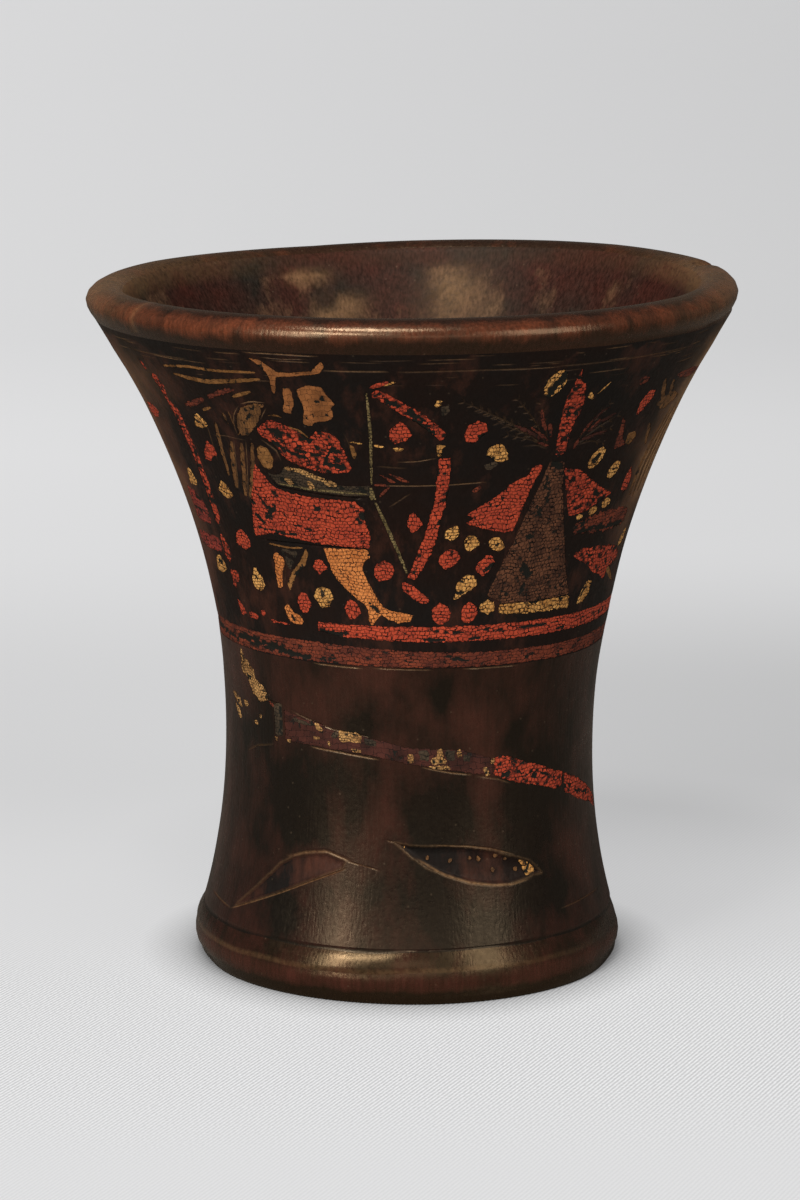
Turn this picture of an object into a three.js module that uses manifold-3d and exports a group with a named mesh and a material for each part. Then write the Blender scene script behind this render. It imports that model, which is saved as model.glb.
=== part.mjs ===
import * as THREE from 'three';
import { mergeVertices } from 'three/addons/utils/BufferGeometryUtils.js';
import { TessellateModifier } from 'three/addons/modifiers/TessellateModifier.js';
import Module from 'manifold-3d';

// A kero: a turned wooden beaker with coloured resin pressed into carved pockets.
// Millimetres, +Z up, standing on Z = 0. The front of the cup faces -Y.

// Outside of the beaker
const HEIGHT = 180;
const RIM_RADIUS = 85;
const LIP_HEIGHT = 8.5;
const LIP_OVERHANG = 1.2;
const LIP_THICKNESS = 10.5;
const WAIST_RADIUS = 48.8;
const WAIST_HEIGHT = 58;
const FOOT_RADIUS = 56.8;
const FOOT_OVERHANG = 0.7;
const FOOT_ROLL_HEIGHT = 9;
const FOOT_FLAT_RADIUS = 53;
const FLARE_POWER = 2.05;
const FOOT_FLARE_POWER = 2.15;

// Turned groove just above the foot
const GROOVE_HEIGHT = 11.6;
const GROOVE_WIDTH = 1.8;
const GROOVE_DEPTH = 0.8;

// Hollow of the beaker
const WALL = 10;
const FLOOR = 18;
const HOLLOW_ROUND = 16;

// Inlay work
const INLAY_THICKNESS = 1.2;
const CLEARANCE = 0.3;
const RECESS_DEPTH = 1.1;
const UPPER_BAND_WIDTH = 3.8;
const UPPER_BAND_TOP = 98;
const BAND_GAP = 2.6;
const LOWER_BAND_WIDTH = 4.6;
const BOW_WIDTH = 2.4;
const BOWSTRING_WIDTH = 0.9;
const BACK_BEARING = 180;

// Fineness of the meshes
const TURNED_SEGMENTS = 48;
const WALL_ROWS = 12;
const TILE_EDGE = 9;
const DOT_POINTS = 8;

const LOWER_BAND_TOP = UPPER_BAND_TOP - UPPER_BAND_WIDTH - BAND_GAP;
const LOWER_BAND_BASE = LOWER_BAND_TOP - LOWER_BAND_WIDTH;
const LIP_BASE = HEIGHT - LIP_HEIGHT;
const GROOVE_TOP = GROOVE_HEIGHT + GROOVE_WIDTH / 2;
const ROLL = FOOT_RADIUS - FOOT_FLAT_RADIUS;
const LIP_ROUND = LIP_THICKNESS / 2;
const RIM_LINE = HEIGHT - LIP_ROUND;

// The two fields that carry drawings. A drawing gives bearings in degrees from the front,
// and lines from 0 at the foot of its field to 100 at the top.
const pictureField = { base: UPPER_BAND_TOP, top: LIP_BASE };
const lowerField = { base: GROOVE_TOP, top: LOWER_BAND_BASE };

const wood = new THREE.MeshStandardMaterial({ name: 'wood', color: 0x2a1c16, roughness: 0.45, metalness: 0 });
const redResin = new THREE.MeshStandardMaterial({ name: 'red_resin', color: 0xbe3f26, roughness: 0.6, metalness: 0 });
const dullRed = new THREE.MeshStandardMaterial({ name: 'dull_red_resin', color: 0x6e2f20, roughness: 0.6, metalness: 0 });
const ochreResin = new THREE.MeshStandardMaterial({ name: 'ochre_resin', color: 0xbe833f, roughness: 0.6, metalness: 0 });
const brownResin = new THREE.MeshStandardMaterial({ name: 'brown_resin', color: 0x553a27, roughness: 0.65, metalness: 0 });
const oliveResin = new THREE.MeshStandardMaterial({ name: 'olive_resin', color: 0x82703f, roughness: 0.6, metalness: 0 });

const wasm = await Module();
wasm.setup();

const kero = new THREE.Group();
kero.name = 'kero';
const cutters = [];

// Outside radius of the plain wall at a height: one curve rises from the waist to the rim, one falls to the foot
function wallRadius(height) {
  if (height >= WAIST_HEIGHT) {
    const share = (height - WAIST_HEIGHT) / (RIM_LINE - WAIST_HEIGHT);
    return WAIST_RADIUS + (RIM_RADIUS - LIP_OVERHANG - WAIST_RADIUS) * Math.pow(share, FLARE_POWER);
  }
  const share = (WAIST_HEIGHT - height) / (WAIST_HEIGHT - FOOT_ROLL_HEIGHT);
  return WAIST_RADIUS + (FOOT_RADIUS - FOOT_OVERHANG - WAIST_RADIUS) * Math.pow(share, FOOT_FLARE_POWER);
}

// Height of a drawing's line in its field
function place(line, field) {
  return field.base + ((field.top - field.base) * line) / 100;
}

function toSolid(geometry) {
  const bare = geometry.index ? geometry.toNonIndexed() : geometry.clone();
  bare.deleteAttribute('normal');
  bare.deleteAttribute('uv');
  const merged = mergeVertices(bare, 1e-4);
  const mesh = new wasm.Mesh({
    numProp: 3,
    vertProperties: new Float32Array(merged.attributes.position.array),
    triVerts: new Uint32Array(merged.index.array),
  });
  return new wasm.Manifold(mesh);
}

function toGeometry(solid) {
  const mesh = solid.getMesh();
  const geometry = new THREE.BufferGeometry();
  geometry.setAttribute('position', new THREE.BufferAttribute(new Float32Array(mesh.vertProperties), 3));
  geometry.setIndex(new THREE.BufferAttribute(new Uint32Array(mesh.triVerts), 1));
  geometry.computeVertexNormals();
  return geometry;
}

function addNode(name, geometry, material) {
  const mesh = new THREE.Mesh(geometry, material);
  mesh.name = name;
  kero.add(mesh);
}

// Solid of revolution from [radius, height] corners
function turned(corners) {
  const points = corners.map(([radius, height]) => new THREE.Vector2(radius, height));
  const geometry = new THREE.LatheGeometry(points, TURNED_SEGMENTS);
  geometry.rotateX(Math.PI / 2);
  return toSolid(geometry);
}

// The same outline with every edge moved outwards
function grow(outline, by) {
  const grown = [];
  const count = outline.length;
  for (let i = 0; i < count; i += 1) {
    const before = outline[(i + count - 1) % count];
    const here = outline[i];
    const after = outline[(i + 1) % count];
    const into = here.clone().sub(before).normalize();
    const away = after.clone().sub(here).normalize();
    const outA = new THREE.Vector2(into.y, -into.x);
    const outB = new THREE.Vector2(away.y, -away.x);
    const middle = outA.clone().add(outB).normalize();
    const reach = by / Math.max(middle.dot(outA), 0.45);
    grown.push(here.clone().addScaledVector(middle, reach));
  }
  return grown;
}

// A slab of the wall: the flat outline is cut from a sheet and bent round the beaker
function bent(outline, reference, outside, inside) {
  const sheet = new THREE.ExtrudeGeometry(new THREE.Shape(outline), { depth: 1, steps: 1, bevelEnabled: false });
  sheet.deleteAttribute('uv');
  sheet.deleteAttribute('normal');
  const fine = new TessellateModifier(TILE_EDGE, 12).modify(sheet);
  const position = fine.attributes.position;
  for (let i = 0; i < position.count; i += 1) {
    const bearing = position.getX(i) / reference;
    const height = position.getY(i);
    const level = inside + (outside - inside) * position.getZ(i);
    const radius = wallRadius(height) + level;
    position.setXYZ(i, radius * Math.sin(bearing), -radius * Math.cos(bearing), height);
  }
  return toSolid(fine);
}

// Drawn corners [bearing, line] as millimetres along and up the wall
function flatten(drawn, field, turn) {
  const heights = drawn.map(([, line]) => place(line, field));
  const reference = wallRadius((Math.min(...heights) + Math.max(...heights)) / 2);
  let outline = drawn.map(([bearing], i) => {
    return new THREE.Vector2(THREE.MathUtils.degToRad(bearing + turn) * reference, heights[i]);
  });
  if (THREE.ShapeUtils.area(outline) < 0) {
    outline = outline.reverse();
  }
  return { outline, reference };
}

// One piece of resin, flush with the wall, and the pocket that takes it
function inlay(name, drawn, material, field = pictureField, turn = 0) {
  const { outline, reference } = flatten(drawn, field, turn);
  addNode(name, toGeometry(bent(outline, reference, 0, -INLAY_THICKNESS)), material);
  cutters.push(bent(grow(outline, CLEARANCE), reference, 1, -INLAY_THICKNESS - CLEARANCE));
}

// A carved recess that has lost its resin
function emptyRecess(drawn, field) {
  const { outline, reference } = flatten(drawn, field, 0);
  cutters.push(bent(outline, reference, 1, -RECESS_DEPTH));
}

// Corners of a band all round the beaker: its face follows the wall
function bandCorners(base, top, outside, inside) {
  const middle = (base + top) / 2;
  return [
    [wallRadius(base) + inside, base],
    [wallRadius(base) + outside, base],
    [wallRadius(middle) + outside, middle],
    [wallRadius(top) + outside, top],
    [wallRadius(top) + inside, top],
    [wallRadius(base) + inside, base],
  ];
}

function band(name, base, top, material) {
  addNode(name, toGeometry(turned(bandCorners(base, top, 0, -INLAY_THICKNESS))), material);
  cutters.push(turned(bandCorners(base - CLEARANCE, top + CLEARANCE, 1, -INLAY_THICKNESS - CLEARANCE)));
}

// Outline of a dot: round below, drawn out a little at one end
function dot(bearing, line, halfWidth, halfHeight, point = 0) {
  const outline = [];
  for (let i = 0; i < DOT_POINTS; i += 1) {
    const angle = (2 * Math.PI * i) / DOT_POINTS;
    const along = Math.cos(angle);
    const swell = 1 - point * along;
    outline.push([bearing + halfWidth * along, line + halfHeight * Math.sin(angle) * swell]);
  }
  return outline;
}

// Outline of a strip of one width along a smooth line through a few points of the picture field
function strip(points, width, steps) {
  const curve = new THREE.SplineCurve(points.map(([bearing, line]) => new THREE.Vector2(bearing, line)));
  const perLine = (pictureField.top - pictureField.base) / 100;
  const left = [];
  const right = [];
  for (let i = 0; i <= steps; i += 1) {
    const point = curve.getPoint(i / steps);
    const ahead = curve.getTangent(i / steps);
    const perDegree = THREE.MathUtils.degToRad(wallRadius(place(point.y, pictureField)));
    const side = new THREE.Vector2(-ahead.y * perLine, ahead.x * perDegree).normalize().multiplyScalar(width / 2);
    left.push([point.x + side.x / perDegree, point.y + side.y / perLine]);
    right.unshift([point.x - side.x / perDegree, point.y - side.y / perLine]);
  }
  return left.concat(right);
}

// Bands between the picture field and the lower field
band('upper_red_band', UPPER_BAND_TOP - UPPER_BAND_WIDTH, UPPER_BAND_TOP, redResin);
band('lower_dull_red_band', LOWER_BAND_BASE, LOWER_BAND_TOP, dullRed);

// Upright stripes that divide the picture field
const STRIPE = [[-59.6, 85], [-57.2, 85], [-55.5, 72.1], [-55.4, 19], [-58.2, 19], [-59, 65.3]];
inlay('divider_stripe_front', STRIPE, redResin);
inlay('divider_stripe_back', STRIPE, redResin, pictureField, BACK_BEARING);
inlay('divider_block_upper', [[-71, 38.6], [-62, 38.9], [-61.4, 30.7], [-71.5, 30.5]], redResin);
inlay('divider_block_lower', [[-74, 24.8], [-60.6, 25.3], [-60.4, 20.3], [-74, 20.1]], redResin);

// Archer
inlay('archer_hat', [
  [-30, 96.9], [-26.8, 93.7], [-22.5, 92.8], [-18.5, 93.3], [-16, 96.9], [-16.4, 93.9], [-19, 92],
  [-23, 91], [-25.3, 90.5], [-26, 85.4], [-27.2, 85.7], [-27, 91.7],
], ochreResin);
inlay('archer_hair', [
  [-24.4, 86.9], [-23.4, 86.7], [-23.4, 82.3], [-24, 78.4], [-25.9, 77.4], [-24.9, 81.6],
], ochreResin);
inlay('archer_face', [
  [-21.8, 86.3], [-19.6, 88.3], [-16.8, 87.9], [-15.9, 84.6], [-14.7, 81.6], [-15.6, 80.5], [-15.5, 76.7],
  [-17.4, 75.1], [-19.6, 74.8], [-20.4, 73.2], [-22.2, 73.7], [-21.2, 78.9],
], ochreResin);
inlay('archer_quiver', [
  [-37.3, 69.1], [-35.6, 74.8], [-33, 78.6], [-29.5, 79.7], [-27.3, 78.1], [-30.5, 76.5], [-33, 72.9],
  [-34.5, 69.1],
], brownResin);
inlay('archer_shoulder', [
  [-32.8, 68.4], [-31.3, 71.6], [-28.4, 73.9], [-25, 71.8], [-21.6, 69.7], [-19.8, 71], [-16.8, 70.7],
  [-15, 68.3], [-13.5, 58.5], [-15, 57], [-18.5, 56.5], [-22, 58.2], [-27, 59.6], [-30, 62.6],
], redResin);
inlay('archer_elbow', dot(-33.4, 60.1, 2, 4.6), ochreResin);
inlay('archer_arm', [
  [-31, 56.6], [-28, 57.4], [-24, 56.2], [-19, 54.3], [-14.5, 52], [-11, 52], [-11, 49], [-14, 48.6],
  [-20, 49.4], [-27, 50.3], [-31, 51.7],
], oliveResin);
inlay('archer_tunic', [
  [-43, 29.9], [-40.6, 44.9], [-37.2, 56.6], [-36.2, 56.6], [-34.2, 49.3], [-31, 47.2], [-13, 45.9],
  [-11.2, 39.5], [-10.4, 31.3], [-12, 29.1], [-16, 29.7], [-35, 30.6],
], redResin);
inlay('archer_left_shin', [
  [-38.6, 10.6], [-38.1, 21.8], [-36.8, 24.4], [-35.3, 23.7], [-36.4, 17.7], [-37, 10.1],
], ochreResin);
inlay('archer_left_calf', [
  [-28.3, 26.5], [-27.2, 26.1], [-27.6, 22.6], [-30.5, 17.7], [-33.4, 13.6], [-34.6, 10.1], [-35.6, 10.6],
  [-34, 15.8], [-30.8, 20.7],
], ochreResin);
inlay('archer_left_foot', [[-38, 5.3], [-35.8, 4.9], [-32, 2.2], [-33.6, 1.8], [-36.4, 2.2]], ochreResin);
inlay('archer_right_leg', [
  [-22.7, 27.6], [-11.4, 27.2], [-12.7, 22.4], [-11.2, 16.1], [-8.6, 9], [-7, 6.4], [-3.5, 5.2],
  [0.4, 4.2], [-1.4, 2.3], [-4.2, 2], [-6.6, 3.8], [-8.2, 4.6], [-10, 2.2], [-11.7, 1.9],
  [-12.6, 7.3], [-16, 11.7], [-19.2, 15.2], [-21.2, 19],
], ochreResin);

// Bow
inlay('bow_upper_limb', strip([[-6.6, 85.6], [-4, 83.4], [0, 78.8], [3, 74.8], [5.4, 70.5]], BOW_WIDTH, 5), redResin);
inlay('bow_grip', [[4.7, 67.1], [6.7, 66.8], [6.1, 64.8], [6.6, 63.7], [5.2, 63.4], [4.8, 65]], ochreResin);
inlay('bow_lower_limb', strip(
  [[6.7, 61.2], [7, 54.4], [6.6, 46.9], [5.2, 38.8], [3.2, 30.6], [0, 21]], BOW_WIDTH, 7,
), redResin);
inlay('bow_lower_tip', strip([[-2.3, 16.2], [0.5, 13.2], [4, 9.4]], BOW_WIDTH, 2), redResin);
inlay('bowstring_upper', strip([[-8.6, 86.3], [-9, 66.7], [-9.2, 51.7]], BOWSTRING_WIDTH, 2), oliveResin);
inlay('bowstring_lower', strip([[-8.9, 47.3], [-5.4, 34.1], [-2, 21.2]], BOWSTRING_WIDTH, 2), oliveResin);

// Plant, once in the picture and once on the hidden side
function plant(prefix, turn) {
  inlay(prefix + '_trunk', [
    [30.2, 58.8], [34.3, 58.8], [38.4, 40.8], [44.6, 15], [46.4, 9.3], [21.8, 9.8], [20.9, 12], [26, 35.4],
  ], brownResin, pictureField, turn);
  inlay(prefix + '_base', [[19.8, 6], [22, 7.6], [46.8, 7.1], [47.3, 3.3], [30, 3], [20.4, 4.2]],
    ochreResin, pictureField, turn);
  inlay(prefix + '_left_leaf', [
    [12.6, 40.3], [20, 49], [26.6, 57.1], [28.4, 56.6], [26.2, 45.6], [24, 34.8], [18, 35.4], [13, 38.5],
  ], redResin, pictureField, turn);
  inlay(prefix + '_right_leaf', [
    [36.6, 55.2], [40, 53.1], [46, 47.6], [54, 43], [46, 38.5], [41.2, 37.3], [39.6, 41.6],
  ], redResin, pictureField, turn);
  inlay(prefix + '_plume', [
    [30.8, 89], [32, 87.6], [33.8, 86.1], [34.5, 80.3], [33.8, 66.7], [33, 61.1], [31.8, 62], [30.9, 69.4],
    [30.3, 78.9],
  ], redResin, pictureField, turn);
}
plant('plant_front', 0);
plant('plant_back', BACK_BEARING);
inlay('fish', [
  [46.2, 22.3], [52, 23.5], [60, 22.9], [68, 20.1], [74, 15.5], [66, 12.8], [64, 9.3], [59.5, 13.3],
  [54, 15.2], [50, 18.5],
], redResin);

// Dots that fill the ground of the picture, as bearing, line, half width, half height in lines, and point
const RED_DOTS = [
  [-50.6, 59.6, 2.5, 3.5, 0.1],
  [-48.4, 27.2, 2.8, 3.9, 0.2],
  [-30.7, 6.8, 1.9, 3.5, 0],
  [-24.4, 21.1, 1.9, 2.9, 0.2],
  [-16.6, 5.6, 2.2, 3.4, 0.1],
  [-7.3, 20.5, 2.6, 3.8, 0.2],
  [-2.6, 71.3, 2.1, 3.8, -0.1],
  [0.4, 38.5, 1.9, 3.4, 0.2],
  [9, 25.2, 2.6, 3.8, 0.2],
  [18.5, 21.9, 2.4, 3.8, 0.1],
  [7.5, 5.4, 2.4, 3.5, 0.1],
  [15.5, 5.4, 2.5, 3.5, 0.1],
  [12.8, 71.2, 2.3, 4.1, 0],
];
const OCHRE_DOTS = [
  [-49.6, 45.3, 2.6, 3.1, 0.1],
  [-45.9, 13.1, 2.1, 4.2, 0],
  [-24.5, 9.5, 2.6, 3.7, 0],
  [13.6, 14.7, 3, 4.1, 0.2],
  [18, 62.6, 2.4, 3.8, 0.2],
];
RED_DOTS.forEach((size, i) => inlay('red_dot_' + (i + 1), dot(...size), redResin));
OCHRE_DOTS.forEach((size, i) => inlay('ochre_dot_' + (i + 1), dot(...size), ochreResin));

// Branch on the lower field
inlay('branch_spike', [
  [-61.2, 97.9], [-57.5, 94.6], [-49.4, 87.1], [-50, 82.8], [-54, 83.4], [-60.4, 90.6],
], ochreResin, lowerField);
inlay('branch_stem', [
  [-41, 80.9], [-28, 77.4], [-14, 75], [5, 71], [24.6, 65.9], [24.2, 60.8], [10, 64], [-12, 68.6], [-41, 71],
], brownResin, lowerField);
inlay('branch_red_tip', [
  [26.4, 66.2], [38, 63.5], [53.4, 56], [53, 53.8], [46, 53.6], [30, 58.7], [26.2, 61.1],
], redResin, lowerField);
inlay('branch_red_end', [[55.4, 55.4], [64, 52.2], [78, 43.4], [77, 38.8], [66, 43.9], [55.2, 50.1]], redResin, lowerField);
emptyRecess([
  [-4.5, 38.3], [12, 37.2], [27, 34.2], [36, 28.3], [43, 24.3], [36, 22.4], [24, 22.6], [12, 26.2], [0, 33.6],
], lowerField);
emptyRecess([
  [-40, 27.5], [-33, 31.5], [-27, 33], [-21, 32.3], [-18.2, 30.5], [-19.5, 28.3], [-30, 24.8], [-38, 21.9],
], lowerField);

// Beaker: flat foot, rolled edge, groove, flaring wall, rolled lip, hollow with a rounded floor
const profile = [[0, 0], [FOOT_FLAT_RADIUS, 0]];
for (let i = 1; i <= 4; i += 1) {
  const angle = (Math.PI / 2) * (i / 4);
  const roll = FOOT_ROLL_HEIGHT * 0.6;
  profile.push([FOOT_FLAT_RADIUS + ROLL * Math.sin(angle), roll - roll * Math.cos(angle)]);
}
const grooveBase = GROOVE_HEIGHT - GROOVE_WIDTH / 2;
profile.push([wallRadius(grooveBase), grooveBase]);
profile.push([wallRadius(GROOVE_HEIGHT) - GROOVE_DEPTH, GROOVE_HEIGHT]);
for (let i = 0; i <= WALL_ROWS; i += 1) {
  const height = GROOVE_TOP + ((LIP_BASE - GROOVE_TOP) * i) / WALL_ROWS;
  profile.push([wallRadius(height), height]);
}
const lipCentre = RIM_RADIUS - LIP_ROUND;
for (let i = 0; i <= 8; i += 1) {
  const angle = Math.PI * (i / 8);
  profile.push([lipCentre + LIP_ROUND * Math.cos(angle), RIM_LINE + LIP_ROUND * Math.sin(angle)]);
}
const hollowRows = 8;
for (let i = 1; i <= hollowRows; i += 1) {
  const height = RIM_LINE + ((FLOOR + HOLLOW_ROUND - RIM_LINE) * i) / hollowRows;
  profile.push([wallRadius(height) - WALL, height]);
}
const sideRadius = profile[profile.length - 1][0];
for (let i = 1; i <= 4; i += 1) {
  const angle = (Math.PI / 2) * (i / 4);
  const radius = sideRadius - HOLLOW_ROUND + HOLLOW_ROUND * Math.cos(angle);
  profile.push([radius, FLOOR + HOLLOW_ROUND - HOLLOW_ROUND * Math.sin(angle)]);
}
profile.push([0, FLOOR]);

let body = turned(profile);
for (const cutter of cutters) {
  body = body.subtract(cutter);
}
addNode('wood_body', toGeometry(body), wood);

export default kero;
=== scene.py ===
import math

import bpy
import numpy as np
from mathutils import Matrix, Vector, noise
from mathutils.geometry import delaunay_2d_cdt


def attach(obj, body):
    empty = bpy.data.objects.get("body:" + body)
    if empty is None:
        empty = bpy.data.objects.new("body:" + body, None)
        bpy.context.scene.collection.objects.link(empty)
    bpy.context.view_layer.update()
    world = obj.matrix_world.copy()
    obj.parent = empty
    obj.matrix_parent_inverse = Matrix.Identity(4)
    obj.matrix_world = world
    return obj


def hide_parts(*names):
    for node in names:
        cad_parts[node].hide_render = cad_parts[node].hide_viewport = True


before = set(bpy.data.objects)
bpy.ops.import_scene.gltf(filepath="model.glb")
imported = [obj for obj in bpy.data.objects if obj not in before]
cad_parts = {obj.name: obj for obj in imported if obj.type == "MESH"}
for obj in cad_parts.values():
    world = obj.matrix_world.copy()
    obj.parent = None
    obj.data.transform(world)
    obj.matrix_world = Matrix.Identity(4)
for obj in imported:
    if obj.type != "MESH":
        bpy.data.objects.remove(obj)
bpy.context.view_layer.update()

# Form of the beaker
# One block of dense dark hardwood, turned and then scraped by hand, so it leans and its rim dips and rises.
# Carvings and inlays are laid out on its wall by a bearing from the front in degrees and a height in mm.
MM_IN_METRE = 1000.0
WALL_TOP = 171.5
WALL_BASE = 14.2
WAIST_HEIGHT = 58.0
WAIST_RADIUS = 48.8
FLARE_HEIGHT = 116.75
FLARE_REACH = 35.0
FLARE_POWER = 2.05
SPREAD_HEIGHT = 49.0
SPREAD_REACH = 7.3
SPREAD_POWER = 2.15


def wall_radius(height):
    height = np.asarray(height, float)
    up = np.clip((height - WAIST_HEIGHT) / FLARE_HEIGHT, 0, None)
    down = np.clip((WAIST_HEIGHT - height) / SPREAD_HEIGHT, 0, None)
    return WAIST_RADIUS + FLARE_REACH * up ** FLARE_POWER + SPREAD_REACH * down ** SPREAD_POWER


# The true form bent to the real one: scraper facets, a swell below the lip, a lean and an uneven rim.
def shaped(bearing, radius, height):
    turn = np.radians(bearing)
    radius = np.asarray(radius, float)
    facets = 0.1 * np.sin(2 * turn + 0.7) + 0.06 * np.sin(5 * turn + height / 17)
    facets = facets + 0.04 * np.sin(9 * turn - height / 8)
    radius = radius + facets * np.clip(radius / 40, 0, 1)
    swell = np.interp(height, [15, 30, 80, 100, 150, 158, 163, WALL_TOP, WALL_TOP + 0.1],
                      [0, 0.15, 0.15, 0.4, 0.4, 0.7, 1.1, 1.1, 0])
    right_side = np.clip(np.sin(turn), 0, 1) * (height <= WALL_TOP)
    swell = swell + 0.6 * np.clip((height - 110) / 40, 0, 1) * right_side
    radius = radius + np.where(radius > wall_radius(height) - 5, swell, 0)
    lean = np.interp(height, [0, 8, 15, 50, 75, 92, 180], [-0.9, -1.35, -1.0, -0.6, -0.2, 0.3, 0.15])
    back = np.interp(bearing, [0, 60, 100, 135, 150, 180, 200, 215, 240, 280, 320],
                     [0, 0, 1.2, 1.7, 1.6, 1.1, 0.6, 0.8, 1.1, 0.3, 0], period=360)
    rise = np.clip((height - 120) / 55, 0, 1) * (np.sin(turn) * (1 - 0.4 * np.cos(turn)) + back)
    place = [radius * np.sin(turn) + lean, -radius * np.cos(turn), height + rise]
    return np.stack(place, -1) / MM_IN_METRE


def on_wall(bearing, height, level=0.0):
    return shaped(bearing, wall_radius(height) + level, height)


# Bands round the waist
# Two strips of resin pressed into grooves cut round the wall: a bright red one above, a dull red one below.
# The upper one is lost at the left, where only four small pieces of it are left.
POCKET_DEPTH = 1.2
POCKET_GAP = 0.06
RESIN_BED = 0.2
FILM_THICKNESS = 0.3
RING_STEP = 0.4
SNAP = 1e-5
SHARP_ANGLE = 40
pockets = []
# A line cut into the wood has its points, its width and depth in mm and the share of old resin left in it.
incised = []


def middle_radius(line):
    return float(wall_radius(np.asarray(line)[:, 1].mean()))


# Bearing and height to millimetres on the unrolled wall, and back.
def to_flat(line, reference):
    line = np.asarray(line, float)
    return np.stack([np.radians(line[:, 0]) * reference, line[:, 1]], 1)


def to_chart(flat, reference):
    return np.stack([np.degrees(flat[:, 0] / reference), flat[:, 1]], 1)


def moved_out(ring, by):
    ahead = np.roll(ring, -1, 0) - np.roll(ring, 1, 0)
    ahead /= np.maximum(np.hypot(ahead[:, 0], ahead[:, 1]), 1e-9)[:, None]
    return ring + np.stack([ahead[:, 1], -ahead[:, 0]], 1) * np.reshape(by, (-1, 1))


def even_steps(flat, step, closed):
    path = np.vstack([flat, flat[:1]]) if closed else flat
    along = np.concatenate([[0], np.cumsum(np.hypot(*np.diff(path, axis=0).T))])
    count = max(10 if closed else 3, int(along[-1] / step))
    at = np.linspace(0, along[-1], count, endpoint=not closed)
    return np.stack([np.interp(at, along, path[:, k]) for k in (0, 1)], 1)


# An outline as a knife leaves it: corners a little rounded and edges a little ragged.
def hand_cut(drawn, ragged, seed):
    reference = middle_radius(drawn)
    ring = even_steps(to_flat(drawn, reference), RING_STEP, True)
    ring = (np.roll(ring, 1, 0) + 2 * ring + np.roll(ring, -1, 0)) / 4
    area = np.sum(ring[:, 0] * np.roll(ring[:, 1], -1) - np.roll(ring[:, 0], -1) * ring[:, 1])
    ring = ring if area > 0 else ring[::-1]
    nicks = [noise.noise(Vector((x * 0.8, y * 0.8, seed))) + noise.noise(Vector((x * 2.3, y * 2.3, seed + 9)))
             for x, y in ring]
    return moved_out(ring, ragged * np.array(nicks)), reference


def within(points, ring):
    x, y = points[:, 0], points[:, 1]
    turns = np.zeros(len(points), int)
    for (ax, ay), (bx, by) in zip(ring, np.roll(ring, -1, 0)):
        side = (bx - ax) * (y - ay) - (x - ax) * (by - ay)
        turns += ((ay <= y) & (by > y) & (side > 0)).astype(int)
        turns -= ((ay > y) & (by <= y) & (side < 0)).astype(int)
    return turns != 0


def distance_to(points, path):
    best = np.full(len(points), 1e9)
    for a, b in zip(path[:-1], path[1:]):
        run = b - a
        share = np.clip(((points - a) @ run) / max(run @ run, 1e-12), 0, 1)
        best = np.minimum(best, np.hypot(*(points - a - share[:, None] * run).T))
    return best


# A slab of resin bent to the wall, lumpy on top, with a lower edge and dips where flakes are lost.
def resin_mesh(ring, reference, proud, thick, lost, seed):
    low, high = ring.min(0), ring.max(0)
    step = float(np.clip(math.sqrt(np.prod(high - low)) / 8, 0.35, 0.7))
    xs, ys = np.meshgrid(np.arange(low[0], high[0], step), np.arange(low[1], high[1], step * 0.87))
    xs[1::2] += step / 2
    inner = np.stack([xs.ravel(), ys.ravel()], 1)
    inner = inner[within(inner, moved_out(ring, -0.25))]
    links = [(i, (i + 1) % len(ring)) for i in range(len(ring))]
    drawn = [Vector(p) for p in np.vstack([ring, inner])]
    flat, _, faces, _, _, _ = delaunay_2d_cdt(drawn, links, [], 1, SNAP)
    flat = np.array([tuple(p) for p in flat])
    sides = {(a, b) for face in faces for a, b in zip(face, face[1:] + face[:1])}
    border = [(a, b) for a, b in sides if (b, a) not in sides]
    rim = np.zeros(len(flat), bool)
    rim[[v for pair in border for v in pair]] = True
    gone = np.zeros(len(flat))
    for start_bearing, start_height, end_bearing, end_height, reach in lost:
        path = to_flat([(start_bearing, start_height), (end_bearing, end_height)], reference)
        gone = np.maximum(gone, np.clip(1.1 * (1 - distance_to(flat, path) / (1.5 * reach)), 0, 1))
    lumps = np.array([noise.noise(Vector((x * 0.5, y * 0.5, seed))) for x, y in flat])
    level = np.where(rim, proud - 0.04, proud + 0.05 * lumps) - 0.25 * np.clip(gone - 0.3, 0, 1)
    bearing = np.degrees(flat[:, 0] / reference)
    verts = np.vstack([on_wall(bearing, flat[:, 1], level), on_wall(bearing, flat[:, 1], proud - thick)])
    size = len(flat)
    polygons = [tuple(f) for f in faces] + [tuple(v + size for v in reversed(f)) for f in faces]
    polygons += [(b, a, a + size, b + size) for a, b in border]
    return verts, polygons, np.vstack([flat, flat]), np.concatenate([gone, gone])


# One piece of resin in one or more outlines, set in pockets of its own or, if not sunk, left as a film.
def set_in(name, outlines, finish, stands_for=(), lost=(), ragged=0.2, proud=-0.03, sunk=True):
    verts, faces, chart, gone = [], [], [], []
    count = 0
    for k, drawn in enumerate(outlines):
        seed = sum(map(ord, name)) % 89 + 3.3 * k
        ring, reference = hand_cut(drawn, ragged, seed)
        if sunk:
            pockets.append(to_chart(moved_out(ring, POCKET_GAP), reference))
        thick = POCKET_DEPTH - RESIN_BED if sunk else FILM_THICKNESS
        v, f, c, g = resin_mesh(ring, reference, proud, thick, lost, seed)
        faces += [tuple(i + count for i in face) for face in f]
        count += len(v)
        verts.append(v)
        chart.append(c)
        gone.append(g)
    values = {"lost": np.concatenate(gone)}
    piece = finished(name, np.vstack(verts), faces, [finish], stands_for, values)
    corners = np.zeros(len(piece.data.loops), int)
    piece.data.loops.foreach_get("vertex_index", corners)
    spread = np.vstack(chart)[corners].astype(np.float32)
    piece.data.uv_layers.new(name="wall_mm").data.foreach_set("uv", spread.ravel())
    return piece


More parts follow.
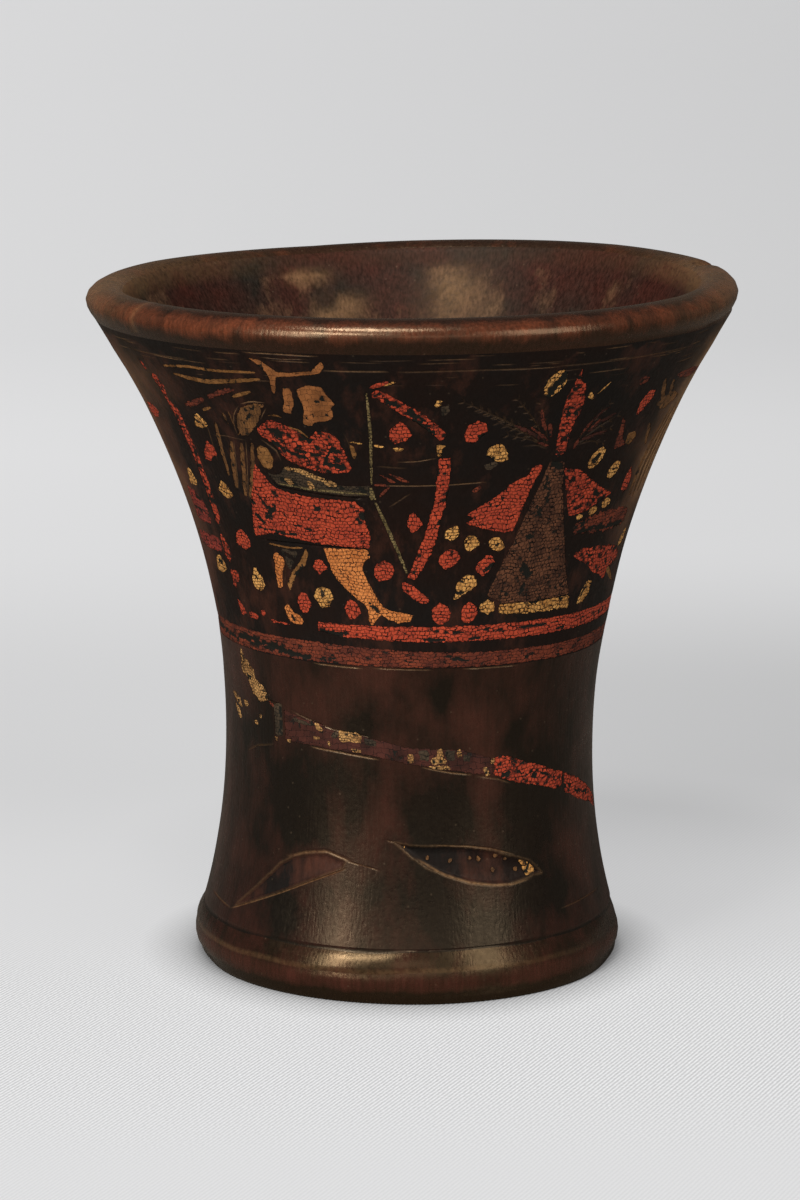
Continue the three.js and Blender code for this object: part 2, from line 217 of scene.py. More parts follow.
# One piece with its mesh, finishes and values at points; it rides on the only body.
def finished(name, verts, faces, finishes, stands_for, values):
    mesh = bpy.data.meshes.new(name)
    mesh.from_pydata([tuple(v) for v in verts], [], faces)
    mesh.polygons.foreach_set("use_smooth", [True] * len(mesh.polygons))
    mesh.set_sharp_from_angle(angle=math.radians(SHARP_ANGLE))
    for key, each in values.items():
        mesh.attributes.new(key, "FLOAT", "POINT").data.foreach_set("value", np.asarray(each, np.float32))
    for finish in finishes:
        mesh.materials.append(finish)
    piece = bpy.data.objects.new(name, mesh)
    bpy.context.scene.collection.objects.link(piece)
    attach(piece, "root")
    if stands_for:
        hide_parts(*stands_for)
    return piece


# A colour as seen, in hex, to the linear values that shaders work in.
def linear(colour):
    parts = [int(colour[i:i + 2], 16) / 255 for i in (0, 2, 4)]
    return (*[p / 12.92 if p <= 0.04045 else ((p + 0.055) / 1.055) ** 2.4 for p in parts], 1.0)


# A material or world with an empty node tree.
def blank_tree(block):
    block.use_nodes = True
    block.node_tree.nodes.clear()
    return block.node_tree


# One node with its settings; an input takes a value, a socket or another node's first output.
def add(tree, kind, inputs=None, **settings):
    made = tree.nodes.new(kind)
    for key, value in settings.items():
        setattr(made, key, value)
    for key, value in (inputs or {}).items():
        if isinstance(value, bpy.types.Node):
            value = value.outputs[0]
        if isinstance(value, bpy.types.NodeSocket):
            tree.links.new(value, made.inputs[key])
        else:
            made.inputs[key].default_value = value
    return made


# Resin kneaded with pigment breaks with age into rows of small flakes with dark joints, and some fall out.
# To the eye that is a dull colour crossed by a fine dark net in rows, with black specks where flakes fell.
# The numbers are a flake's width and height, the joint's width and the wear at which dark specks show.
def flaked_resin(name, pale, deep, joint, flake, row, crack, specks):
    material = bpy.data.materials.new(name)
    tree = blank_tree(material)
    chart = add(tree, "ShaderNodeUVMap", uv_map="wall_mm").outputs[0]
    place = chart
    for scale, reach in ((0.12, 3.0), (0.9, 0.8)):
        drift = add(tree, "ShaderNodeTexNoise", {"Vector": chart, "Scale": scale, "Detail": 2.0},
                    noise_dimensions="2D")
        shift = add(tree, "ShaderNodeVectorMath", {0: drift.outputs["Color"], 1: (0.5, 0.5, 0.5)},
                    operation="SUBTRACT")
        place = add(tree, "ShaderNodeVectorMath", {0: shift, 1: (reach, reach, 0.0), 2: place},
                    operation="MULTIPLY_ADD").outputs[0]
    flakes = add(tree, "ShaderNodeTexBrick", {
        "Vector": place, "Color1": (0, 0, 0, 1), "Color2": (1, 1, 1, 1), "Scale": 1.0, "Mortar Size": crack,
        "Mortar Smooth": 0.2, "Bias": 0.0, "Brick Width": flake, "Row Height": row}, offset=0.43)
    patchy = add(tree, "ShaderNodeTexNoise", {"Vector": chart, "Scale": 0.5, "Detail": 4.0},
                 noise_dimensions="2D")
    patchy = add(tree, "ShaderNodeMapRange", {
        "Value": patchy.outputs["Fac"], "From Min": 0.36, "From Max": 0.6, "To Min": 0.55, "To Max": 1.0})
    seam = add(tree, "ShaderNodeMath", {0: flakes.outputs["Fac"], 1: patchy}, operation="MULTIPLY")
    wear = add(tree, "ShaderNodeAttribute", attribute_name="lost")
    ragged = add(tree, "ShaderNodeTexNoise", {
        "Vector": place, "Scale": 0.7, "Detail": 5.0, "Roughness": 0.7}, noise_dimensions="2D")
    loose = add(tree, "ShaderNodeMath", {0: flakes.outputs["Color"], 1: 0.42}, operation="MULTIPLY")
    loose = add(tree, "ShaderNodeMath", {0: ragged.outputs["Fac"], 1: 0.7, 2: loose},
                operation="MULTIPLY_ADD")
    near_joint = add(tree, "ShaderNodeMath", {0: flakes.outputs["Fac"], 1: 0.2, 2: loose},
                     operation="MULTIPLY_ADD")
    wear = add(tree, "ShaderNodeMath", {0: wear.outputs["Fac"], 1: 0.5, 2: near_joint},
               operation="MULTIPLY_ADD")
    wear = add(tree, "ShaderNodeMapRange", {"Value": wear, "From Min": specks, "From Max": specks + 0.04})
    film = add(tree, "ShaderNodeTexNoise", {"Vector": chart, "Scale": 0.2, "Detail": 5.0},
               noise_dimensions="2D")
    film = add(tree, "ShaderNodeMapRange", {
        "Value": film.outputs["Fac"], "From Min": 0.35, "From Max": 0.66})
    tint = add(tree, "ShaderNodeMath", {0: flakes.outputs["Color"], 1: 0.4}, operation="MULTIPLY")
    tint = add(tree, "ShaderNodeMath", {0: film, 1: 0.6, 2: tint}, operation="MULTIPLY_ADD")
    body = add(tree, "ShaderNodeMix", {"Factor": tint, "A": linear(pale), "B": linear(deep)},
               data_type="RGBA")
    netted = add(tree, "ShaderNodeMix", {"Factor": seam, "A": body.outputs["Result"], "B": linear(joint)},
                 data_type="RGBA")
    colour = add(tree, "ShaderNodeMix", {
        "Factor": wear, "A": netted.outputs["Result"], "B": linear("1b1a15")}, data_type="RGBA")
    dark = add(tree, "ShaderNodeMath", {0: seam, 1: wear}, operation="MAXIMUM")
    sunk = add(tree, "ShaderNodeMath", {0: 1.0, 1: dark}, operation="SUBTRACT")
    relief = add(tree, "ShaderNodeBump", {"Strength": 0.7, "Distance": 0.0001, "Height": sunk})
    surface = add(tree, "ShaderNodeBsdfPrincipled", {
        "Base Color": colour.outputs["Result"], "Roughness": 0.55, "Specular IOR Level": 0.12,
        "Normal": relief})
    add(tree, "ShaderNodeOutputMaterial", {"Surface": surface})
    return material


red_resin = flaked_resin("flaked_red_resin", "b9482c", "963724", "2a100b", 1.25, 1.0, 0.14, 0.77)
chipped_red_resin = flaked_resin("chipped_red_resin", "ba472b", "8c3321", "24100b", 1.25, 1.0, 0.15, 0.655)
dull_red_resin = flaked_resin("worn_dull_red_resin", "7a3823", "45221a", "1c100c", 1.4, 0.95, 0.1, 0.75)
worn_red_resin = flaked_resin("worn_red_resin", "983a2c", "5a2620", "1d0f0d", 1.25, 1.0, 0.12, 0.73)


def band_outline(start, end, base, top):
    bearings = np.arange(start, end + 0.01, 3.0)
    under = [(b, np.interp(b, *base)) for b in bearings]
    over = [(b, np.interp(b, *top)) for b in bearings[::-1]]
    return under + over


upper_top = ([-95, -28, 0, 30, 60, 265], [98.2, 98.3, 98.2, 98.0, 97.6, 97.9])
upper_base = ([-95, -28, -22, 0, 30, 60, 265], [94.6, 96.2, 95.0, 94.2, 93.9, 93.7, 94.2])
set_in("upper_red_band", [
    band_outline(-27, 93, upper_base, upper_top), band_outline(97, 261, upper_base, upper_top),
    [(-57.7, 100.6), (-55, 99), (-53.8, 97), (-57, 96.3)],
    [(-52.9, 97.8), (-50, 98), (-48.3, 97.4), (-49, 96.3), (-52.6, 96.4)],
    [(-47.3, 98.8), (-45.6, 99.3), (-45, 98.2), (-46.4, 97.3)],
    [(-43.6, 97.2), (-36.3, 97), (-36.3, 96.4), (-43.4, 96.5)],
], red_resin, ["upper_red_band"], ragged=0.3, lost=[
    (-26, 95.8, -19, 95.5, 0.8), (6, 97, 14, 96.3, 0.25), (18, 97.4, 27, 95.9, 0.35),
    (29, 96.7, 45, 96.3, 0.2), (3, 94.6, 9, 94.7, 0.5), (16, 94.7, 19, 94.7, 0.5),
    (45, 94.8, 47, 94.6, 0.6), (56, 95.7, 75, 95.4, 0.4), (-12, 96.9, -2, 96.6, 0.15),
    (110, 96, 118, 96.4, 0.8), (150, 95.5, 156, 95.2, 0.9), (205, 96.2, 216, 96, 0.8)])
lower_top = ([-95, -30, 0, 20, 60, 265], [92.6, 92.9, 91.6, 90.8, 90.3, 91.6])
lower_base = ([-95, -30, 0, 20, 60, 265], [87.8, 87.6, 87.3, 87.0, 86.6, 87.2])
set_in("lower_dull_red_band", [
    band_outline(-93, 93, lower_base, lower_top), band_outline(97, 261, lower_base, lower_top),
], dull_red_resin, ["lower_dull_red_band"], ragged=0.3, lost=[
    (-90, 91.6, -62, 89, 0.8), (-60, 90.4, -50, 90, 1.2), (-48, 90.2, -40, 89.4, 1.2),
    (-38, 89, -31, 88.4, 0.8), (-27, 88.5, -26, 88.8, 0.5), (-24, 88.6, -22.5, 88.9, 0.5),
    (-2, 88.6, 1.5, 89.2, 0.4), (9, 90.2, 16, 88.6, 0.4), (34, 88.2, 36, 88.5, 0.4),
    (46, 87.9, 48, 88.2, 0.5), (100, 89, 118, 90, 0.7), (190, 89.8, 204, 89, 0.7)])
incised += [
    ([(-30, 87.0), (-22, 86.8), (-14, 86.7)], 0.45, 0.2, 0.75),
    ([(-12, 86.9), (-3, 86.8), (6, 86.6)], 0.5, 0.2, 0.35),
    ([(14, 86.6), (24, 86.4), (32, 86.3)], 0.5, 0.2, 0.4),
]

# Divider at the left of the picture
# An upright stripe of red resin with short bars beside it; the stripe has broken into lengths near its foot.
set_in("divider_stripe", [
    [(-59.6, 160.6), (-58.6, 161.4), (-57.6, 160.8), (-57, 158.4), (-58, 154), (-56, 152.6), (-55.7, 133),
     (-55.8, 122.8), (-57.2, 120.6), (-58.4, 120.8), (-58.3, 140), (-58.8, 152)],
    [(-61.8, 164.8), (-60.8, 164.9), (-60, 162.2), (-60.8, 161.8)],
    [(-58.5, 117.8), (-57.2, 118), (-55, 113.6), (-57.1, 110.4), (-58.6, 112.4)],
    [(-58, 108.4), (-53.8, 108.7), (-54.4, 106), (-56.6, 105.2), (-56.6, 103.6), (-57.8, 103.8)],
], chipped_red_resin, ["divider_stripe_front"], ragged=0.35, lost=[
    (-56.4, 157, -57, 155, 0.9), (-56.8, 140, -56.2, 140.5, 0.6), (-57.5, 127.5, -56, 127, 0.5),
    (-57, 147, -58.6, 146.8, 0.3), (-58.8, 131, -57, 130.6, 0.4), (-56, 136.6, -58.6, 136.4, 0.3)])
set_in("divider_bars", [
    [(-71, 129), (-67, 128.6), (-62.6, 126.4), (-61.6, 124), (-61.4, 120.2), (-67, 119.8), (-71.6, 120.4)],
], worn_red_resin, ["divider_block_upper"], ragged=0.4, lost=[
    (-70, 123.4, -64, 123, 0.5), (-66, 127, -64, 126.4, 0.5)])
set_in("divider_low_bar", [
    [(-76, 116.4), (-60.2, 116.8), (-59.4, 115), (-60, 112.8), (-70, 112.4), (-76, 112.8)],
], worn_red_resin, ["divider_block_lower"], ragged=0.3)


# The outline of a piece's outer face in the CAD, as bearings and heights.
def cad_outline(node):
    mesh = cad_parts[node].data
    corners = np.array([v.co for v in mesh.vertices]) * MM_IN_METRE
    level = np.hypot(corners[:, 0], corners[:, 1]) - wall_radius(corners[:, 2])
    key = [tuple(np.round(c, 2)) for c in corners]
    sides = set()
    for face in mesh.polygons:
        ids = list(face.vertices)
        if min(level[i] for i in ids) > -0.4:
            sides |= {(key[a], key[b]) for a, b in zip(ids, ids[1:] + ids[:1])}
    follow = {a: b for a, b in sides if (b, a) not in sides}
    ring = [min(follow)]
    while follow[ring[-1]] != ring[0]:
        ring.append(follow[ring[-1]])
    ring = np.array(ring)
    bearing = np.degrees(np.unwrap(np.arctan2(ring[:, 0], -ring[:, 1])))
    return np.stack([bearing + (360 if bearing.mean() < -95 else 0), ring[:, 2]], 1)


set_in("divider_stripe_far", [
    cad_outline("divider_stripe_back"),
], red_resin, ["divider_stripe_back"], ragged=0.3)

# Archer
# A figure in a red tunic with bare ochre legs and face, drawing a bow; each area is one flat piece of resin.
# Hat, plume and quiver are worn thin, so only their edges keep some ochre and red.
ochre_resin = flaked_resin("flaked_ochre_resin", "d28144", "aa602d", "3a2010", 1.05, 0.95, 0.11, 0.81)
worn_ochre_resin = flaked_resin("worn_ochre_resin", "926335", "543619", "34210f", 1.5, 1.2, 0.05, 0.76)
smoked_ochre_resin = flaked_resin("smoked_ochre_resin", "c09056", "704a28", "1a110a", 0.85, 0.75, 0.12, 0.72)
thin_ochre_resin = flaked_resin("thin_ochre_resin", "9e6235", "663e20", "402613", 1.6, 1.3, 0.05, 0.76)
yellow_resin = flaked_resin("flaked_yellow_ochre_resin", "dea35a", "a06a33", "21130a", 1.1, 1.0, 0.15, 0.75)
olive_resin = flaked_resin("worn_olive_resin", "47392a", "2a231a", "15120e", 1.2, 0.9, 0.1, 0.76)
pale_olive_resin = flaked_resin("pale_olive_resin", "86724a", "564829", "1e180f", 0.9, 0.8, 0.12, 0.77)
grey_brown_resin = flaked_resin("worn_grey_brown_resin", "7c532d", "422d1b", "28190f", 0.9, 2.2, 0.06, 0.735)
brown_resin = flaked_resin("worn_brown_resin", "6c432c", "3a241a", "150e0a", 1.15, 1.0, 0.14, 0.74)
stem_resin = flaked_resin("smoked_red_brown_resin", "4d281f", "2a1812", "120d0b", 2.2, 1.6, 0.06, 0.77)


def directions(flat):
    ahead = np.gradient(flat, axis=0)
    ahead /= np.hypot(ahead[:, 0], ahead[:, 1])[:, None]
    return ahead, np.stack([-ahead[:, 1], ahead[:, 0]], 1)


# A long narrow outline that thins towards both ends.
def strip(line, width, ends=0.5):
    reference = middle_radius(line)
    flat = even_steps(to_flat(line, reference), 1.0, False)
    share = np.sin(np.linspace(0, math.pi, len(flat))) ** 0.5
    side = directions(flat)[1] * (width / 2 * (ends + (1 - ends) * share))[:, None]
    return to_chart(np.vstack([flat + side, (flat - side)[::-1]]), reference)


set_in("archer_hat_brim", [
    [(-29.6, 169.6), (-27.5, 169.1), (-25.6, 167.1), (-24.6, 166), (-22, 166.1), (-17.9, 166.8),
     (-16.6, 168.6), (-15.8, 169.5), (-15.5, 168), (-16.6, 166.2), (-18.4, 165.8), (-21.7, 165.2),
     (-25.2, 164.7), (-25.8, 162), (-26.5, 160), (-26.9, 160.7), (-26.5, 164), (-26.8, 165.7),
     (-28, 167.7)],
], thin_ochre_resin, ["archer_hat"], ragged=0.15)
set_in("archer_hair_lock", [
    [(-24.2, 162.1), (-22.8, 161.8), (-22.9, 158), (-24.2, 154.8), (-25.9, 155.2), (-25, 157.7),
     (-24.7, 160.3)],
], thin_ochre_resin, ["archer_hair"])
set_in("archer_head", [
    cad_outline("archer_face"),
], thin_ochre_resin, ["archer_face"], lost=[
    (-18.6, 158.6, -17.9, 158.6, 0.35), (-16.9, 155.0, -16.2, 155.1, 0.25)])
set_in("archer_cape", [
    [(-38, 147.6), (-38.4, 150), (-37.4, 153), (-35.2, 155.6), (-32.4, 156.8), (-29.6, 156.8),
     (-30.8, 155.2), (-31.4, 153.6), (-32.8, 151.4), (-34.4, 149.6), (-36, 147.8)],
], grey_brown_resin, ["archer_quiver"], ragged=0.3, lost=[
    (-36.4, 151, -33.4, 154, 0.3), (-34.6, 154.8, -31.8, 155.8, 0.2)])
set_in("archer_shoulder_red", [
    [(-33.2, 149.6), (-31.7, 151.4), (-29.8, 152.8), (-27.5, 152.1), (-25.8, 151.3), (-23.3, 150),
     (-21.8, 147.9), (-20, 150.3), (-17.5, 150.4), (-15.4, 148.8), (-14.4, 145.3), (-13.2, 140.6),
     (-14.4, 139.5), (-18.3, 139.2), (-20.8, 139.2), (-24.2, 140.6), (-26.3, 141), (-28.9, 143.2),
     (-29.6, 145.3), (-31.6, 147.4), (-33, 148.2)],
], chipped_red_resin, ["archer_shoulder"], ragged=0.3, lost=[
    (-29.4, 149.6, -28, 148.2, 0.7), (-30, 147, -27.6, 144.6, 0.5), (-27, 144.4, -22.6, 142.7, 0.35),
    (-18, 141.6, -15.4, 140.8, 0.8), (-17, 145.6, -15.6, 145, 0.5), (-25.2, 147.2, -24, 146.2, 0.4),
    (-20.5, 146.4, -20, 146, 0.4), (-16.6, 143.4, -16, 143, 0.5), (-22.2, 148.6, -21.6, 147.6, 0.5),
    (-24.4, 144.6, -19, 143.6, 0.3), (-19.4, 141.2, -17, 146, 0.3), (-31, 150.4, -27, 149.6, 0.3)])
set_in("archer_elbow_ochre", [
    cad_outline("archer_elbow"),
], worn_ochre_resin, ["archer_elbow"])
set_in("archer_arm_olive", [
    [(-34, 138), (-32.4, 137.6), (-30.6, 138), (-29, 140.1), (-24.6, 139.3), (-21.7, 138), (-18.3, 136.4),
     (-15, 135.8), (-9.6, 136.2), (-9.4, 133.4), (-15, 133.3), (-23.3, 134), (-29.2, 134.7), (-32, 135)],
], olive_resin, ["archer_arm"], lost=[
    (-31, 136.6, -27, 135.6, 0.6), (-20, 135.6, -11, 134.8, 0.4)])
set_in("archer_sleeve", [
    strip([(-29, 139.9), (-24.8, 139.1), (-21.6, 137.7), (-17.4, 136.3)], 1.3),
    [(-29.6, 137), (-28, 136.8), (-27.4, 135.6), (-29, 135)],
    [(-24.2, 136.6), (-23, 136.4), (-22.2, 134.6), (-23.8, 134.4)],
    [(-22.5, 138.2), (-20.4, 137.9), (-20.6, 136.6), (-22, 137)],
    [(-20, 137.2), (-17, 136.2), (-17, 135.4), (-19.8, 135.9)],
], smoked_ochre_resin, ragged=0.25, proud=0.05, sunk=False)
set_in("archer_sleeve_hem", [
    strip([(-31.6, 135.3), (-24, 134.5), (-10, 133.9)], 0.55),
], pale_olive_resin, ragged=0.15, proud=0.05, sunk=False)
set_in("archer_tunic_red", [
    [(-37, 140.2), (-35.4, 137.4), (-33.7, 134.6), (-30.4, 133.1), (-23.3, 132.1), (-13.4, 131.8),
     (-11.5, 130), (-11.2, 126), (-10.2, 122.7), (-10.8, 119.3), (-23.3, 119.7), (-31.7, 120.6),
     (-36, 121.4), (-42.9, 119.8), (-42.9, 122), (-40.4, 132), (-38.4, 137)],
], red_resin, ["archer_tunic"], ragged=0.3, lost=[
    (-37.4, 125.4, -34.8, 128.5, 0.9), (-23.4, 130, -22.8, 129, 0.6), (-12.4, 128.6, -11.6, 127.6, 0.9),
    (-33.9, 132.7, -33.4, 132.4, 0.6), (-13, 126.8, -12.6, 126.4, 0.6), (-25.6, 126.1, -25.2, 126, 0.4),
    (-41, 129.5, -40.2, 128.5, 0.5), (-20.4, 129, -20, 128.4, 0.4), (-41, 122.4, -30, 121.4, 0.45),
    (-38.6, 131.6, -36.6, 128, 0.45), (-41, 126, -38.6, 123.6, 0.5), (-31, 124.4, -25, 123.2, 0.25)])
set_in("archer_shin", [
    [(-38.2, 115.3), (-36.9, 116.1), (-35.2, 114.7), (-34.9, 113.3), (-36.2, 111.3), (-37, 106.7),
     (-38.6, 106.2), (-38.6, 110)],
], ochre_resin, ["archer_left_shin"])
set_in("archer_calf", [
    [(-27.9, 118), (-27.2, 116.7), (-28.7, 113.3), (-30.8, 111.7), (-32.9, 108.7), (-34.8, 105.8),
     (-35.2, 107.8), (-32.5, 111.7), (-29.4, 115)],
], worn_ochre_resin, ["archer_left_calf"], lost=[(-29.4, 113.6, -34, 107.5, 0.4)])
set_in("archer_calf_film", [
    [(-35.6, 117.4), (-30, 117.2), (-31.4, 114.2), (-33.8, 110.8), (-34.4, 113.6)],
], olive_resin, ragged=0.3, proud=0.03, sunk=False, lost=[(-34, 116, -32, 115, 0.5)])
set_in("archer_foot", [
    [(-37.6, 101.3), (-36.2, 102.2), (-34.6, 100.2), (-31.6, 98.8), (-32, 97.2), (-34.6, 96.8),
     (-36.7, 98)],
], ochre_resin, ["archer_left_foot"], ragged=0.3, lost=[(-36, 99.6, -34.6, 98.2, 0.4)])
set_in("archer_leg", [
    [(-22.8, 118.7), (-11.2, 118.8), (-10.7, 116.8), (-12.5, 115.3), (-12.9, 113.3), (-11.7, 110),
     (-9.6, 106), (-7.9, 103.2), (-5.4, 102.4), (0, 101.4), (-0.8, 99.6), (-3.8, 99.2), (-6.7, 100.2),
     (-8.4, 101.4), (-10, 99.9), (-11.2, 98.2), (-12.2, 100), (-12, 102.4), (-12.9, 104), (-15, 105.3),
     (-17.5, 107.7), (-20, 110.3), (-21.3, 112.7), (-21.8, 115.3)],
], ochre_resin, ["archer_right_leg"], lost=[
    (-11.6, 104.4, -9.2, 102.2, 0.5), (-11.2, 117.6, -11, 117.2, 0.4)])
set_in("archer_plume_ochre", [
    strip([(-52.5, 164.4), (-45, 165.3), (-38, 165.1), (-29, 165.6)], 0.7),
    strip([(-50.5, 162.6), (-46, 162), (-42, 161.7), (-36, 162.5), (-28.5, 163.8)], 1.2, 0.3),
    strip([(-46.8, 153.2), (-43.8, 154.4)], 0.9),
    strip([(-36.6, 158.2), (-33.5, 159.4), (-31.6, 160.2)], 0.9),
    strip([(-39, 118.2), (-33, 117.7), (-28.4, 118.1)], 0.5),
    strip([(-25.6, 151.2), (-23, 150.2), (-21.6, 148.4)], 0.5),
    strip([(-29.6, 153.9), (-28, 154.2), (-26.4, 153.6)], 0.5),
    [(-13.1, 147.2), (-12.2, 146.8), (-11.8, 144.6), (-12.4, 143.2), (-12.9, 144.7)],
], worn_ochre_resin, ragged=0.12)
set_in("archer_plume_red", [
    strip([(-52, 153.9), (-48.5, 155), (-44.6, 156.8)], 1.5, 0.3),
    strip([(-43.4, 157.2), (-38.6, 159.4), (-35.4, 160.3)], 1.3, 0.3),
], dull_red_resin, ragged=0.3)
set_in("archer_quiver_feathers", [
    strip([(-46.2, 135.6), (-45.6, 143), (-44.4, 150.4)], 1.2),
    strip([(-45, 132), (-43.4, 139.4), (-41.6, 145.6)], 1.5),
    strip([(-42.6, 130.6), (-40.6, 138.4), (-38.7, 145.6)], 1.4),
    strip([(-41.2, 130.2), (-38, 138), (-35.7, 145.8)], 1.3), strip([(-39, 147.6), (-37, 149.4)], 0.7),
    strip([(-41, 153.4), (-40.6, 150.2)], 0.6), strip([(-39.3, 154), (-39, 149.8)], 0.6),
], grey_brown_resin, ragged=0.2)
faint_lines = [
    ([(-39, 147.8), (-39.2, 150.2), (-38, 153.4), (-35.8, 156)], 0.75),
    ([(-35.4, 156.3), (-32.4, 157.5), (-29.2, 157.3)], 0.9),
    ([(-29.4, 156), (-30.6, 154.2), (-31.6, 152.4)], 0.7),
    ([(-44.4, 131.6), (-42.6, 139), (-40.6, 146.4)], 0.5),
    ([(-41.8, 130.6), (-39.4, 138.4), (-37.2, 146.4)], 0.55),
    ([(-47, 146.4), (-43, 146.9), (-37, 146.3)], 0.25),
    ([(-48.6, 139), (-48, 145), (-47.4, 151)], 0.35),
    ([(-14, 150.6), (-13, 147), (-11.9, 143)], 0.2),
    ([(-42, 133), (-41, 128), (-43.4, 120)], 0.2),
]
incised += [(line, 0.4, 0.15, old_resin) for line, old_resin in faint_lines]
incised += [
    ([(-30.5, 170.9), (-24, 171.0), (-16, 170.8)], 0.5, 0.25, 0.6),
    ([(-27.5, 169.9), (-23, 169.7), (-18, 170)], 0.4, 0.2, 0.3),
    ([(-33, 147.2), (-30, 144.4), (-29.4, 141.4)], 0.6, 0.3, 0.5),
    ([(-42.5, 119.0), (-30, 119.2), (-11.4, 118.95)], 0.6, 0.4, 0.0),
    ([(-35, 138.6), (-32.2, 134.4), (-22, 133.2), (-10, 132.6)], 0.7, 0.5, 0.0),
    ([(-33.4, 116.6), (-35, 112), (-36.4, 107)], 0.6, 0.3, 0.15),
]

# Bow and arrows
# A red bow with an ochre grip and a thin pale olive string, an arrow on the string and one above it.
set_in("bow_upper", [
    strip([(-7.2, 161.4), (-5.5, 160.2), (-3.5, 158.6), (-1.3, 156.6), (0.5, 155.1), (2.5, 153.4),
           (4.6, 151.2), (6.3, 148.9)], 2.7, 0.75),
], chipped_red_resin, ["bow_upper_limb"], ragged=0.35, lost=[
    (-4.6, 159, -3.2, 157.8, 0.6), (-0.6, 156.4, 0.4, 155, 0.8), (0, 153.8, 4.4, 150.2, 0.3),
    (-6.4, 161.4, -6, 161, 0.3), (2, 154.2, 2.4, 153.6, 0.3)])
set_in("bow_grip_ochre", [
    [(4.8, 147.2), (5.6, 147.4), (6.9, 147), (5.9, 146.2), (5.9, 144.2), (5, 144.2)],
], yellow_resin, ["bow_grip"])
set_in("bow_lower", [
    [(7.9, 143.8), (7.85, 137), (7.6, 132), (6.4, 127), (5.7, 122), (4, 117), (2.1, 113.3), (0.2, 110.8),
     (-1.6, 111.4), (-0.4, 113.3), (0.6, 117), (2.7, 122), (3.8, 127), (5, 132), (5.2, 137), (5.6, 143.7)],
], red_resin, ["bow_lower_limb"], ragged=0.3, lost=[
    (5.4, 140.5, 5.5, 139, 0.4), (7.6, 134.5, 7.4, 132, 0.4), (6.2, 127, 5.7, 125, 0.4),
    (2, 119.4, 0.6, 114.8, 0.25), (6.6, 137.6, 6.4, 130, 0.15), (1.6, 115.8, 0.4, 112.6, 0.2)])
set_in("bow_tip", [
    [(-2.9, 110.2), (-1.7, 110), (0.4, 109), (3.8, 106.1), (4.4, 104.8), (2.9, 104.3), (0, 105.8),
     (-2.5, 107.7)],
], red_resin, ["bow_lower_tip"], ragged=0.3)
set_in("bow_tip_chips", [
    [(-8, 162.6), (-6.8, 163.8), (-4.4, 164.8), (-4.2, 164), (-6.2, 162.8)],
], red_resin, ragged=0.2)
set_in("string_upper", [
    strip([(-8.5, 161.4), (-8.5, 150), (-9.1, 136.4)], 0.75),
], pale_olive_resin, ["bowstring_upper"], ragged=0.1)
set_in("string_lower", [
    strip([(-8.6, 131.8), (-5, 122), (-1.5, 112.6)], 0.85),
], pale_olive_resin, ["bowstring_lower"], ragged=0.1)
set_in("arrow_nock", [
    [(-9.9, 135.6), (-9, 136), (-8.7, 134), (-8.2, 132.4), (-9.4, 132.2), (-9.9, 133)],
], pale_olive_resin, ragged=0.1)
set_in("upper_arrow", [
    strip([(-13.2, 147.9), (-10.2, 147.5)], 0.5), strip([(-8.1, 147.2), (-5.8, 146.7)], 0.8),
    [(-4.4, 146.4), (-3.2, 146.7), (-1.6, 146.3), (-2.6, 145.6), (-3.8, 145.7)],
    strip([(-5.4, 163.3), (-3, 164.4)], 0.6),
], yellow_resin, ragged=0.12)
set_in("arrow_feathers", [
    [(-7.6, 139.5), (-6.4, 139), (-3.6, 137.2), (-4.6, 137)],
    [(-5.4, 139.7), (-2.8, 138.7), (-0.6, 137.2), (-2.2, 137.3)],
    strip([(-8.6, 136.4), (-6.8, 136.6), (-5.2, 136), (-6.4, 134.6), (-7.6, 133.2)], 0.7),
    [(13, 134.5), (14.8, 136.2), (15.4, 135.4), (14, 134)],
], dull_red_resin, ragged=0.12)
incised += [
    ([(-7.4, 136.4), (0, 136.3), (9, 136.5), (16.5, 136.9)], 0.45, 0.2, 0.55),
    ([(-3.5, 142.7), (1, 142.9), (5, 143.8)], 0.4, 0.2, 0.6),
    ([(-5.5, 130.4), (-0.5, 134.4)], 0.5, 0.15, 0.25),
    ([(-8, 141.6), (-1, 141)], 0.6, 0.15, 0.15),
]

# Plant
# A tall trunk of brown resin on an ochre base with two red leaves and a red plume; fine palm fronds spread
# from its top, most of them only cut into the wood. A second plant stands at the back.
set_in("plant_trunk", [
    [(30.8, 141.2), (34.6, 140.6), (35, 138.7), (36.1, 133.3), (38.3, 126.7), (41.1, 118.7), (44.4, 110),
     (47.2, 103.5), (34, 103.2), (24, 103.6), (22.8, 104.6), (19.8, 106), (22.1, 112), (25.4, 120),
     (27.1, 126), (28.8, 132), (30, 136.4)],
], brown_resin, ["plant_front_trunk"], ragged=0.25, lost=[
    (29.4, 113, 31, 111, 1.1), (28.6, 121.4, 30, 120.8, 0.6), (32, 140.6, 33.4, 139.6, 0.9),
    (31, 137, 31.2, 134, 0.5), (29.6, 106, 30.4, 108, 0.7), (30.2, 129, 31.4, 127, 0.6),
    (32, 136, 32.6, 130, 0.3), (24, 107, 25, 106.4, 0.3), (41.6, 106, 42, 105.4, 0.5)])
set_in("plant_base", [
    [(17.9, 103.5), (20, 105), (21.9, 104.2), (22.5, 101.6), (20, 101), (18.3, 101.7)],
    [(23.6, 103.4), (34, 103), (47.6, 103.2), (47.9, 99.9), (34, 100.1), (23.8, 100.9)],
], yellow_resin, ["plant_front_base"], ragged=0.3, lost=[
    (43.6, 103.4, 45, 102.6, 0.4), (33, 103, 36, 102.8, 0.3)])
